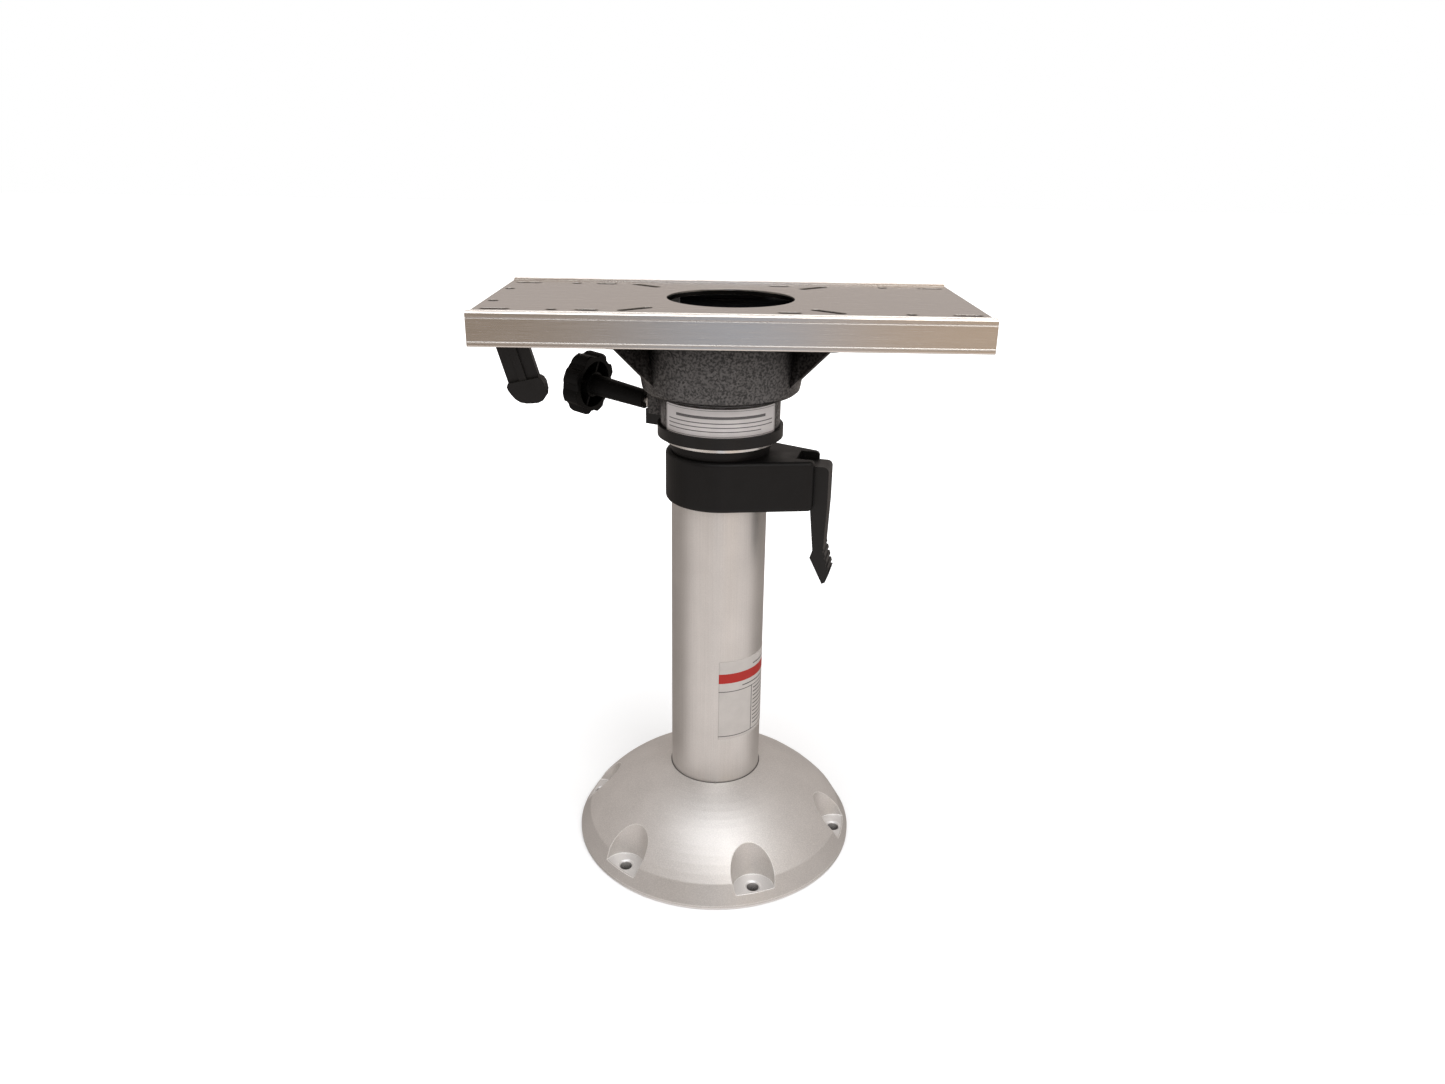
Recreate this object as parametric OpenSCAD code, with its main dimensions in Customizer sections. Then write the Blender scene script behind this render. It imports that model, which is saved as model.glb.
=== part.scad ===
// Boat seat pedestal: cast base, telescopic post with a cam clamp, swivel head with a
// spring plunger, and a latched seat slide. Millimetres, +Z up the post, origin at the
// centre of the base underside, +X along the slide towards the clamp lever.

/* [Base] */
// Radius of the base at its rim
base_r = 114.5; // [108:0.5:130]
// Height of the dome where it meets the post
base_h = 61; // [54:1:72]
// Height of the upright edge of the rim
rim_h = 3; // [2:0.5:5]
// Height of the crease between the skirt and the dome
crease_z = 17; // [14:0.5:20]
// Horizontal run of the skirt from the rim in to the crease
skirt_run = 8.2; // [6:0.2:11]
// How far the dome bulges past a straight cone
dome_bulge = 6.3; // [4:0.1:8]
// Thickness of the cast shell
base_wall = 4.5; // [3.5:0.1:6]
// Number of floor bolts
bolt_count = 6; // [4:1:6]
// Distance from the rim in to the bolt circle
bolt_inset = 11.5; // [10.5:0.5:15]
// Diameter of each bolt hole
bolt_hole_d = 9.5; // [7:0.5:11]
// Turn of the first bolt about the post
bolt_turn = -73; // [-90:1:90]
// Height of the flat pocket floor round each bolt
pocket_floor = 9.5; // [8:0.5:11]
// Radius of the pocket at its floor
pocket_r = 16; // [13:0.5:17]
// How far the pocket centre lies outside the bolt circle
pocket_shift = 2.5; // [1:0.5:4]
// Draft of the pocket wall in degrees
pocket_draft = 9; // [4:1:12]
// Wall of the socket that holds the post
socket_wall = 5; // [4:0.5:8]
// Thickness of the underside ribs
rib_t = 4; // [3:0.5:6]

/* [Post] */
// Outside diameter of the fixed tube
post_d = 73; // [72:0.5:76]
// Wall of the fixed tube
post_wall = 3; // [2.4:0.1:3.4]
// Height of the top of the fixed tube
post_top = 334; // [300:1:400]
// Height of the ledge that the fixed tube stands on
post_seat = 5; // [3:0.5:8]
// Outside diameter of the riser tube
riser_d = 60; // [59:0.2:61]
// Wall of the riser tube
riser_wall = 2.5; // [2:0.1:3]
// Length of the riser tube
riser_len = 282; // [240:1:285]
// Radius of the collar on the plastic bushing
bush_flange_r = 38; // [37:0.5:40]
// Height of the collar on the plastic bushing
bush_flange_h = 8; // [6:0.5:10]
// Length of the bushing inside the tube
bush_sleeve = 44; // [40:1:60]
// Height of the guide ring on the foot of the riser
guide_h = 20; // [14:1:30]

/* [Height clamp] */
// Height of the clamp housing
clamp_h = 38.2; // [36:0.2:42]
// Radial thickness of the ring round the tube
clamp_wall = 4.4; // [3.6:0.1:6]
// Distance from the post axis to the end of the housing
beak_reach = 74; // [73:0.5:76]
// Width of the end of the housing
beak_w = 36; // [34:0.5:42]
// Direction of the lever about the post
beak_turn = -14; // [-40:1:40]
// Radius of the rounded edges of the housing
clamp_round = 3; // [2:0.5:4]
// Distance from the post axis to the lever pin
pivot_reach = 71; // [70.5:0.1:72]
// Height of the lever pin below the top of the housing
pivot_drop = 12; // [11:0.5:14]
// Diameter of the lever pin
clamp_pin_d = 5; // [4:0.5:6]
// Radius of the eccentric cam on the lever
cam_r = 7; // [6.6:0.1:7.4]
// Offset of the cam from the pin
cam_e = 1.5; // [1.2:0.1:1.8]
// Width of the lever
lever_w = 21; // [18:0.5:24]
// How far the lever stands out past the end of the housing
lever_proud = 10.5; // [8:0.5:12]
// Distance from the pin down to the lever tip
lever_len = 85.5; // [75:0.5:100]
// Width of the sliding shoe
shoe_w = 14; // [10:0.5:16]
// Height of the sliding shoe
shoe_h = 12; // [9:0.5:13]

/* [Swivel head] */
// Radius of the bright flange on the spindle
spindle_flange_r = 42; // [40:0.5:46]
// Thickness of the bright flange on the spindle
spindle_flange_t = 3.1; // [2.5:0.1:5]
// Radius of the spindle shaft
shaft_r = 22; // [18:0.5:23]
// Wall of the hollow spindle
shaft_wall = 8; // [6:0.5:9]
// Wall of the plastic sleeve on the spindle
sleeve_wall = 3.7; // [3:0.1:4.5]
// Radius of the black collar ring
collar_r = 47; // [46.4:0.1:50]
// Height of the black collar ring
collar_h = 8.3; // [7:0.1:12]
// Radius of the neck of the casting
neck_r = 44.5; // [44:0.1:45.8]
// Height of the neck above the collar
neck_h = 22; // [21:0.5:26]
// Wall of the casting
head_wall = 4.5; // [4:0.1:5.5]
// Radius of the bowl at its foot
bowl_foot_r = 58.5; // [57:0.5:62]
// Radius of the bowl at its top
bowl_top_r = 64.5; // [63:0.5:68]
// Height of the bowl from the neck to the flange
bowl_h = 45; // [42:0.5:60]
// Length of the mounting flange along the slide
flange_l = 176; // [168:1:200]
// Distance from the edge of the tray in to the side of the mounting flange
flange_inset = 7; // [4:0.5:9]
// Thickness of the mounting flange
flange_t = 5; // [4:0.5:8]
// Thickness of the gussets
gusset_t = 6; // [4:0.5:9]
// Reach of the gussets from the post axis
gusset_reach = 92; // [86:0.5:96]
// Height of the foot of the gussets above the foot of the bowl
gusset_foot = 9; // [6:0.5:14]
// Half spacing of the slide bolts along the slide
head_bolt_x = 74; // [71:0.5:78]
// Distance from the side of the mounting flange in to the slide bolts
head_bolt_inset = 14; // [11:0.5:18]
// Diameter of the slide bolts
head_bolt_d = 8; // [6:0.5:9]

/* [Swivel lock] */
// Direction of the plunger about the post
lock_turn = 150; // [140:1:160]
// Upward tilt of the plunger
lock_tilt = 6.5; // [3:0.5:8]
// Height of the plunger axis above the spindle flange where it crosses the post axis
lock_rise = 9.5; // [9:0.1:10]
// Diameter of the plunger pin
lock_pin_d = 7; // [6:0.5:8]
// Number of detent holes round the spindle
detent_count = 8; // [4:2:8]
// Width of the boss that holds the plunger
boss_w = 16; // [15:0.5:22]
// Distance from the post axis to the face of the boss
boss_reach = 60; // [57:0.5:62]
// Length of the plunger guide inside the boss
guide_grip = 10; // [8:0.5:12]
// Distance along the plunger to the foot of the knob sleeve
sleeve_from = 67; // [65:0.5:72]
// Diameter of the knob sleeve
sleeve_d = 16; // [13:0.5:18]
// Distance along the plunger to the back of the knob
knob_from = 116; // [110:0.5:130]
// Diameter of the knob over its lobes
knob_d = 50; // [44:1:60]
// Thickness of the knob
knob_t = 15; // [13:0.5:20]
// Number of lobes on the knob
lobe_count = 8; // [6:1:10]

/* [Seat slide] */
// Length of the seat plate
plate_l = 339; // [330:1:360]
// Width of the seat plate
plate_w = 175; // [173:0.5:178]
// Height of the sides of the seat plate
plate_h = 22.7; // [22.4:0.1:26]
// Thickness of the web of the seat plate
web_t = 4; // [3:0.1:4.4]
// How far the web lies below the bright edge beads
web_drop = 1.5; // [1:0.1:1.9]
// Thickness of the side walls
side_t = 3; // [2.5:0.1:4]
// Thickness of the lips turned in below
lip_t = 2.7; // [2:0.1:3]
// Width of the lips turned in below
lip_w = 15; // [12:0.5:16]
// Distance the seat plate stands forward of the middle of its travel
plate_shift = 6; // [-10:1:10]
// Diameter of the hole in the middle of the seat plate
plate_hole_d = 91.6; // [84:0.2:93]
// Travel of the seat plate each way from the middle
slide_travel = 50; // [40:1:52]
// Width of the seat bolt slots
slot_w = 7; // [6:0.5:9]
// Distance from the side of the seat plate in to the seat bolt slots
slot_inset = 22.5; // [19.5:0.5:23.5]
// Distance from the end of the seat plate in to the outer slots
outer_slot_inset = 14.5; // [12:0.5:19]
// Length of the outer slots
outer_slot_l = 20; // [14:1:22]
// Length of the middle slots
mid_slot_l = 16; // [12:1:20]
// Length of the diagonal slots
diagonal_l = 27; // [22:1:30]
// Turn of the diagonal slots
diagonal_turn = 38; // [32:1:42]
// Distance from the end of the seat plate in to the round seat holes
seat_hole_inset = 51.5; // [46:0.5:55]
// Diameter of the round seat holes
seat_hole_d = 7.5; // [6:0.5:9]
// Distance from the end of the seat plate in to the pair of end holes
end_hole_inset = 6.5; // [6:0.5:9]
// Distance between the pair of end holes
end_hole_pitch = 60; // [50:1:80]
// Distance from the left end of the seat plate in to the left middle slots
left_slot_inset = 74.5; // [68:0.5:84]
// Distance from the right end of the seat plate in to the right middle slots
right_slot_inset = 131.5; // [124:0.5:140]
// Distance from the right end of the seat plate in to the diagonal slots
diagonal_inset = 105.5; // [98:0.5:112]
// Distance from the side of the seat plate in to the diagonal slots
diagonal_side_inset = 30; // [28:0.5:34]
// How much shorter the lower slide is than the seat plate
lower_short = 75; // [75:1:84]
// Distance from the side of the seat plate in to the edge of the tray
tray_inset = 18.5; // [17.5:0.5:20.5]
// Thickness of the lower slide
lower_t = 3; // [2.5:0.1:3.2]
// Distance from the side of the seat plate in to the edge of the runners
runner_inset = 6.5; // [5.5:0.5:8.5]
// Height of the runners above the tray
runner_rise = 6; // [5:0.5:7]
// Diameter of the hole in the lower slide
lower_hole_d = 100; // [92:1:108]
// Distance from the end of the lower slide in to the stop pin
stop_inset = 34; // [30:0.5:38]
// Distance from the edge of the tray in to the stop pin
stop_side_inset = 29; // [26:0.5:34]
// Width of the stop blocks across the slide
stop_w = 8; // [6:0.5:10]

/* [Slide latch] */
// Middle of the latch across the slide
latch_y = -30; // [-34:0.5:-28]
// Width of the perforated latch strip
strip_w = 16; // [14:0.5:18]
// Thickness of the latch strip
strip_t = 1.5; // [1:0.1:1.8]
// Spacing of the windows in the latch strip
strip_pitch = 12; // [11:0.5:14]
// Width of the steel latch arm
arm_w = 12; // [10:0.5:13]
// Thickness of the steel latch arm
arm_t = 3; // [2.5:0.1:3.4]
// Distance from the latch pin to the tooth
tooth_reach = 24; // [22:0.5:26]
// Length of the tooth along the slide
tooth_l = 6; // [4:0.5:7]
// Distance from the tooth to the end of the lower slide
tooth_inset = 31; // [30:0.5:34]
// Diameter of the latch pin
latch_pin_d = 4; // [3:0.5:4.5]
// Distance from the latch pin to the knee above the grip
knee_reach = 24.5; // [23:0.5:27]
// Distance from the end of the seat plate in to the latch strip
strip_inset = 11.5; // [10:0.5:14]
// Width of the grip along the slide
grip_w = 22; // [18:0.5:26]
// Thickness of the grip across the slide
grip_t = 12; // [9:0.5:14]
// Length of the grip
grip_len = 46.5; // [36:0.5:60]
// Lean of the grip from upright
grip_lean = 16; // [10:1:20]

/* [Fits] */
// Running clearance between pieces that move
run_gap = 0.3; // [0.25:0.01:0.4]
// Clearance of a pressed or seated piece
seat_gap = 0.1; // [0.05:0.01:0.15]
// Clearance of a hinge pin in its bore
pin_gap = 0.15; // [0.1:0.01:0.2]

/* [Hidden] */
$fn = 72;
tiny = 0.02;

// Base
crease_r = base_r - skirt_run;
post_r = post_d / 2;
post_in_r = post_r - post_wall;
bolt_pcd = 2 * (base_r - bolt_inset);
socket_r = post_r + seat_gap + socket_wall;
pocket_at = bolt_pcd / 2 + pocket_shift;
pocket_slope = tan(pocket_draft);
boss_floor_r = 10;
notch_r = 1;

// Height stack of the post and the head
riser_r = riser_d / 2;
riser_in_r = riser_r - riser_wall;
bush_top = post_top + bush_flange_h;
spindle_z = bush_top + run_gap;
spindle_top = spindle_z + spindle_flange_t;
collar_z = spindle_top + run_gap;
neck_z = collar_z + collar_h;
bowl_z = neck_z + neck_h;
flange_z = bowl_z + bowl_h;
head_top = flange_z + flange_t;
riser_foot = spindle_z - riser_len;

// Clamp
clamp_bore_r = post_r + seat_gap;
clamp_r = clamp_bore_r + clamp_wall;
clamp_z = post_top - clamp_h;
pivot_z = post_top - pivot_drop;
fork_gap = 0.5;
fork_from = pivot_reach - cam_r - cam_e - 2.5;
shoe_front = riser_r + run_gap;
shoe_back = pivot_reach - cam_r - cam_e - run_gap;
lever_deep = beak_reach + lever_proud - pivot_reach;
clamp_pin_l = beak_w - 3;
clamp_pin_in = 0.5;

// Swivel
spigot_len = 30;
shaft_in_r = shaft_r - shaft_wall;
sleeve_in_r = shaft_r + run_gap;
sleeve_out_r = sleeve_in_r + sleeve_wall;
hub_bore_r = sleeve_out_r + seat_gap;
hub_r = hub_bore_r + head_wall;
neck_in_r = neck_r - head_wall;
thrust_t = 2.3;
shaft_top = bowl_z + bowl_h / 2 - 1;
bowl_floor_z = bowl_z + 4;
bowl_floor_t = 6;
collar_step = 3.3;
boss_z = neck_z + 2 * seat_gap;
boss_top = bowl_z + 6;
tab_w = 14;
guide_rim = 1.2;

// Swivel lock, along the plunger from the post axis
lock_pin_r = lock_pin_d / 2;
lock_z = spindle_top + lock_rise;
tip_at = (shaft_r + run_gap + 0.1 + lock_pin_r * sin(lock_tilt)) / cos(lock_tilt);
spring_room_r = lock_pin_r + 1.5;
shoulder_at = hub_r + 4;
shoulder_t = 3;
guide_from = boss_reach - guide_grip;
guide_to = boss_reach + 1.5;
spring_wire = 0.8;
spring_mid_r = lock_pin_r + 0.75;
sleeve_r = sleeve_d / 2;
pin_grip = 14;
lock_travel = 6;

// Seat slide
tray_z = head_top;
tray_top = tray_z + lower_t;
runner_z = tray_z + runner_rise;
lip_z = tray_z - 1.7;
plate_top = lip_z + plate_h;
web_top = plate_top - web_drop;
web_z = web_top - web_t;
side_in = plate_w / 2 - side_t;
lip_in = plate_w / 2 - lip_w;
lower_l = plate_l - lower_short;
tray_half = plate_w / 2 - tray_inset;
runner_half = plate_w / 2 - runner_inset;
flange_w = 2 * (tray_half - flange_inset);
head_bolt_y = flange_w / 2 - head_bolt_inset;
gusset_turn = atan(head_bolt_y / head_bolt_x);
glide_l = lower_l - 8;
plate_x0 = plate_shift - plate_l / 2;
slot_y = plate_w / 2 - slot_inset;
outer_slot_x = plate_l / 2 - outer_slot_inset;
seat_hole_x = plate_l / 2 - seat_hole_inset;
end_hole_x = plate_l / 2 - end_hole_inset;
mid_slot_x = [left_slot_inset - plate_l / 2, plate_l / 2 - right_slot_inset];
diagonal_x = plate_l / 2 - diagonal_inset;
diagonal_y = plate_w / 2 - diagonal_side_inset;
stop_y = tray_half - stop_side_inset;
stop_pin_r = 4;
stop_half = 3;
stop_pin_x = stop_inset - lower_l / 2;
stop_far = slide_travel + plate_shift + stop_pin_r + stop_half + run_gap;
stop_near = slide_travel - plate_shift + stop_pin_r + stop_half + run_gap;

// Slide latch
lower_x0 = -lower_l / 2;
tooth_x = lower_x0 + tooth_inset;
latch_x = tooth_x - tooth_reach;
latch_z = tray_top + 5.5;
hub_latch_r = latch_pin_d / 2 + 1.9;
strip_z = web_z - strip_t;
strip_x0 = plate_x0 + strip_inset;
hole_edge_x = plate_shift - sqrt(pow(plate_hole_d / 2, 2) - pow(latch_y + strip_w / 2, 2));
strip_x1 = hole_edge_x - 3;
knee_x = latch_x - knee_reach;
knee_z = latch_z - 5.5;
grip_top_z = lip_z - 5.5;
tang_w = 5;
tang_grip = 16;

// A ring about +Z between two heights
module ring(outer, inner, z0, z1) {
    translate([0, 0, z0])
        difference() {
            cylinder(r = outer, h = z1 - z0);
            translate([0, 0, -1])
                cylinder(r = inner, h = z1 - z0 + 2);
        }
}

// A straight-sided slot with round ends, centred, cut through in Z
module slot_cut(length, width, depth) {
    reach = (length - width) / 2;
    for (side = [-1, 1])
        translate([side * reach, 0, 0])
            cylinder(d = width, h = depth, $fn = 32);
    translate([-reach, -width / 2, 0])
        cube([2 * reach, width, depth]);
}

// A flat outline in the X and Z plane, given a thickness along Y about a middle
module side_plate(thick, middle = 0) {
    translate([0, middle + thick / 2, 0])
        rotate([90, 0, 0])
            linear_extrude(thick)
                children();
}

// A round wire wound about +X, as one closed surface
module coil(mid_r, wire_d, length, turns, steps = 18, sides = 8) {
    count = turns * steps;
    points = [for (i = [0 : count]) for (j = [0 : sides - 1])
        let (a = 360 * i / steps, b = 360 * j / sides, r = mid_r + wire_d / 2 * cos(b))
            [length * i / count + wire_d / 2 * sin(b), r * cos(a), r * sin(a)]];
    walls = [for (i = [0 : count - 1]) for (j = [0 : sides - 1])
        let (k = (j + 1) % sides)
            [i * sides + j, (i + 1) * sides + j, (i + 1) * sides + k, i * sides + k]];
    foot = [for (j = [0 : sides - 1]) j];
    head = [for (j = [sides - 1 : -1 : 0]) count * sides + j];
    polyhedron(points, concat([foot], walls, [head]), convexity = 10);
}

// Turned outline of a dome with an upright rim, a straight skirt and a bulging crown
module dome_outline(rim, rim_top, crease, crease_top, crown, crown_top) {
    run = crease - crown;
    fall = crown_top - crease_top;
    chord = sqrt(run * run + fall * fall);
    arc_r = chord * chord / (8 * dome_bulge) + dome_bulge / 2;
    out = [fall / chord, run / chord];
    middle = [(crease + crown) / 2, (crease_top + crown_top) / 2] - out * (arc_r - dome_bulge);
    half = asin(chord / 2 / arc_r);
    from = atan2(out[1], out[0]) - half;
    steps = 12;
    arc = [for (i = [0 : steps]) let (a = from + 2 * half * i / steps)
        middle + arc_r * [cos(a), sin(a)]];
    polygon(concat([[0, 0], [rim, 0], [rim, rim_top]], arc, [[0, crown_top]]));
}

module dome_solid() {
    rotate_extrude($fn = 180)
        dome_outline(base_r, rim_h, crease_r, crease_z, post_r, base_h);
}

module dome_hollow() {
    translate([0, 0, -tiny])
        rotate_extrude($fn = 180)
            dome_outline(base_r - base_wall, rim_h - 1, crease_r - base_wall * 0.9,
                crease_z - base_wall * 0.6, post_r, base_h - base_wall);
}

module at_bolts() {
    for (i = [0 : bolt_count - 1])
        rotate([0, 0, bolt_turn + i * 360 / bolt_count])
            children();
}

module base() {
    color([0.74, 0.73, 0.71])
        difference() {
            dome_solid();
            difference() {
                dome_hollow();
                base_stiffening();
            }
            at_bolts() {
                translate([pocket_at, 0, pocket_floor])
                    cylinder(r1 = pocket_r, r2 = pocket_r + pocket_slope * base_h, h = base_h);
                translate([bolt_pcd / 2, 0, -1])
                    cylinder(d = bolt_hole_d, h = pocket_floor + 2, $fn = 48);
                translate([bolt_pcd / 2, 0, pocket_floor - 1])
                    cylinder(d1 = bolt_hole_d, d2 = bolt_hole_d + 3, h = 1 + tiny, $fn = 48);
            }
            translate([0, 0, post_seat])
                cylinder(r = clamp_bore_r, h = base_h);
            translate([0, 0, -1])
                cylinder(r = post_in_r - 1, h = base_h);
            translate([0, -post_r - seat_gap, base_h - 3])
                cylinder(r = notch_r, h = 5, $fn = 24);
        }
}

// Post socket, ribs, bolt bosses and pocket walls left standing under the dome
module base_stiffening() {
    translate([0, 0, -1])
        cylinder(r = socket_r, h = base_h);
    at_bolts() {
        translate([bolt_pcd / 2, 0, -1])
            cylinder(r = boss_floor_r, h = pocket_floor);
        translate([pocket_at, 0, pocket_floor - base_wall])
            cylinder(r1 = pocket_r + base_wall * 0.8,
                r2 = pocket_r + base_wall * 0.8 + pocket_slope * base_h, h = base_h);
        rotate([0, 0, 180 / bolt_count])
            translate([post_r + 1, -rib_t / 2, rim_h / 2])
                cube([crease_r - post_r - 2, rib_t, base_h]);
    }
}

// The window through the tube and its bushing for the clamp shoe
module shoe_window(spare) {
    rotate([0, 0, beak_turn])
        translate([riser_in_r, -shoe_w / 2 - spare, pivot_z - shoe_h / 2 - spare])
            cube([fork_from - riser_in_r + 1, shoe_w + 2 * spare, shoe_h + 2 * spare]);
}

module outer_tube() {
    color([0.78, 0.78, 0.77])
        difference() {
            ring(post_r, post_in_r, post_seat, post_top);
            shoe_window(run_gap + 0.5);
        }
}

module tube_bushing() {
    color([0.08, 0.08, 0.08])
        difference() {
            union() {
                ring(post_in_r - seat_gap, riser_r + run_gap, post_top - bush_sleeve, bush_top);
                difference() {
                    ring(bush_flange_r, riser_r + run_gap, post_top, bush_top);
                    translate([0, 0, post_top])
                        ring(bush_flange_r + 1, bush_flange_r - 1.2, -tiny, 2.4);
                }
            }
            shoe_window(run_gap + 0.2);
        }
}

// Plan of the clamp housing, drawn in from its edge by an inset
module clamp_plan(inset) {
    hull() {
        circle(r = clamp_r - inset, $fn = 96);
        for (side = [-1, 1])
            translate([beak_reach - 4, side * (beak_w / 2 - 4)])
                circle(r = 4 - inset, $fn = 24);
    }
}

// The housing with both edges rounded, built of level slices drawn together
module clamp_shell() {
    steps = 4;
    hull()
        for (i = [0 : steps]) {
            a = 90 * i / steps;
            inset = clamp_round * (1 - sin(a));
            rise = clamp_round * (1 - cos(a));
            translate([0, 0, rise])
                linear_extrude(clamp_h - 2 * rise)
                    clamp_plan(inset);
        }
}

module clamp_housing() {
    color([0.07, 0.07, 0.07])
        rotate([0, 0, beak_turn])
            difference() {
                translate([0, 0, clamp_z])
                    clamp_shell();
                translate([0, 0, clamp_z - 1])
                    cylinder(r = clamp_bore_r, h = clamp_h + 2, $fn = 96);
                translate([fork_from, -lever_w / 2 - fork_gap, clamp_z - 1])
                    cube([beak_reach, lever_w + 2 * fork_gap, clamp_h + 2]);
                rotate([0, 0, -beak_turn])
                    shoe_window(run_gap);
                translate([pivot_reach, beak_w / 2 + 4, pivot_z])
                    rotate([90, 0, 0])
                        cylinder(d = clamp_pin_d + 2 * seat_gap,
                            h = 4 + clamp_pin_in + clamp_pin_l + seat_gap, $fn = 48);
            }
}

module clamp_pin() {
    color([0.7, 0.7, 0.7])
        rotate([0, 0, beak_turn])
            translate([pivot_reach, beak_w / 2 - clamp_pin_in, pivot_z])
                rotate([90, 0, 0])
                    cylinder(d = clamp_pin_d, h = clamp_pin_l, $fn = 48);
}

// Side of the lever, measured from its pin: first number outward, second upward
module lever_outline(inset = 0) {
    offset(delta = -inset)
        union() {
            translate([lever_deep - 4, 3])
                circle(r = 4, $fn = 32);
            polygon([[0, cam_r], [lever_deep - 4, cam_r], [lever_deep, 3],
                [lever_deep, 0.26 * -lever_len], [lever_deep - 1.3, 0.655 * -lever_len],
                [lever_deep + 4.3, 0.89 * -lever_len], [lever_deep + 1.5, 0.982 * -lever_len],
                [lever_deep - 1, -lever_len], [2.2, 0.76 * -lever_len],
                [4.1, 0.69 * -lever_len], [1.3, 0.363 * -lever_len],
                [-1, 0.05 * -lever_len]]);
        }
}

module clamp_lever() {
    groove_from = 0.655 * lever_len;
    groove_step = 0.06 * lever_len;
    color([0.06, 0.06, 0.06])
        rotate([0, 0, beak_turn])
            translate([pivot_reach, 0, pivot_z])
                difference() {
                    union() {
                        side_plate(lever_w)
                            lever_outline();
                        side_plate(lever_w)
                            translate([-cam_e, 0])
                                circle(r = cam_r);
                    }
                    side_plate(lever_w + 2)
                        circle(d = clamp_pin_d + 2 * pin_gap, $fn = 48);
                    // Hollow back between two side walls
                    side_plate(lever_w - 6)
                        polygon([[-1, 0.2 * -lever_len], [lever_deep - 5, 0.2 * -lever_len],
                            [lever_deep - 5.5, 0.64 * -lever_len], [-1, 0.68 * -lever_len]]);
                    for (i = [0 : 3])
                        side_plate(lever_w + 2)
                            translate([lever_deep - 0.4 + i * 1.25,
                                -groove_from - (i + 0.6) * groove_step])
                                circle(r = 1.3, $fn = 24);
                }
}

// Flat pad against the riser, with its corners cut back where the cam bears on it
module clamp_shoe() {
    half = shoe_w / 2;
    nose = 1.5;
    color([0.25, 0.25, 0.25])
        rotate([0, 0, beak_turn])
            translate([0, 0, pivot_z - shoe_h / 2])
                linear_extrude(shoe_h)
                    polygon([[shoe_front, -half], [shoe_back - nose, -half],
                        [shoe_back, nose - half], [shoe_back, half - nose],
                        [shoe_back - nose, half], [shoe_front, half]]);
}

module inner_tube() {
    color([0.72, 0.72, 0.72])
        ring(riser_r, riser_in_r, riser_foot, spindle_z);
}

module inner_guide() {
    color([0.12, 0.12, 0.12])
        union() {
            ring(post_in_r - run_gap, riser_r + seat_gap, riser_foot - tiny, riser_foot + guide_h);
            ring(post_in_r - run_gap, riser_in_r, riser_foot - 3, riser_foot);
        }
}

// The plunger line: +X runs outward along the plunger from the post axis
module on_lock_line() {
    translate([0, 0, lock_z])
        rotate([0, 0, lock_turn])
            rotate([0, -lock_tilt, 0])
                children();
}

// A rod along the plunger line between two distances
module lock_rod(radius, from, to, sides = 48) {
    on_lock_line()
        translate([from, 0, 0])
            rotate([0, 90, 0])
                cylinder(r = radius, h = to - from, $fn = sides);
}

module swivel_spindle() {
    color([0.8, 0.8, 0.8])
        difference() {
            union() {
                translate([0, 0, spindle_z])
                    cylinder(r = spindle_flange_r, h = spindle_flange_t, $fn = 120);
                translate([0, 0, spindle_z - spigot_len])
                    cylinder(r = riser_in_r - seat_gap, h = spigot_len + tiny);
                translate([0, 0, spindle_top - tiny])
                    cylinder(r = shaft_r, h = shaft_top - spindle_top - 2);
                translate([0, 0, shaft_top - 2 - 2 * tiny])
                    cylinder(r1 = shaft_r, r2 = shaft_r - 2, h = 2);
            }
            translate([0, 0, spindle_z - spigot_len - 1])
                cylinder(r = shaft_in_r, h = shaft_top);
            for (i = [0 : detent_count - 1])
                rotate([0, 0, (i + 0.5) * 360 / detent_count])
                    lock_rod(lock_pin_r + run_gap, shaft_in_r - 4, shaft_r + 4);
        }
}

// Collar with a tab under the lock boss and a lip up the face of the boss
module swivel_collar() {
    lip_at = boss_reach + seat_gap;
    tab_lip = 2.2;
    tab_rise = 3.4;
    color([0.06, 0.06, 0.06])
        difference() {
            union() {
                difference() {
                    translate([0, 0, collar_z])
                        cylinder(r = collar_r, h = collar_h, $fn = 120);
                    translate([0, 0, collar_z + collar_step])
                        cylinder(r = neck_r + seat_gap, h = collar_h, $fn = 120);
                    translate([0, 0, collar_z - 1])
                        cylinder(r = neck_in_r + seat_gap, h = collar_h, $fn = 120);
                }
                rotate([0, 0, lock_turn]) {
                    translate([neck_r + 1, -tab_w / 2, collar_z])
                        cube([lip_at + tab_lip - neck_r - 1, tab_w, boss_z - seat_gap - collar_z]);
                    translate([lip_at, -tab_w / 2, collar_z])
                        cube([tab_lip, tab_w, collar_h + tab_rise]);
                }
            }
            lock_rod(spring_room_r + guide_rim + run_gap, boss_reach - 1, boss_reach + tab_lip + 2);
        }
}

module head_bushing() {
    color([0.85, 0.83, 0.78])
        difference() {
            union() {
                ring(sleeve_out_r, sleeve_in_r, collar_z, shaft_top - 2);
                ring(neck_in_r, sleeve_in_r, collar_z, collar_z + thrust_t);
            }
            lock_rod(lock_pin_r + run_gap, sleeve_in_r - 3, sleeve_out_r + 3);
        }
}

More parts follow.
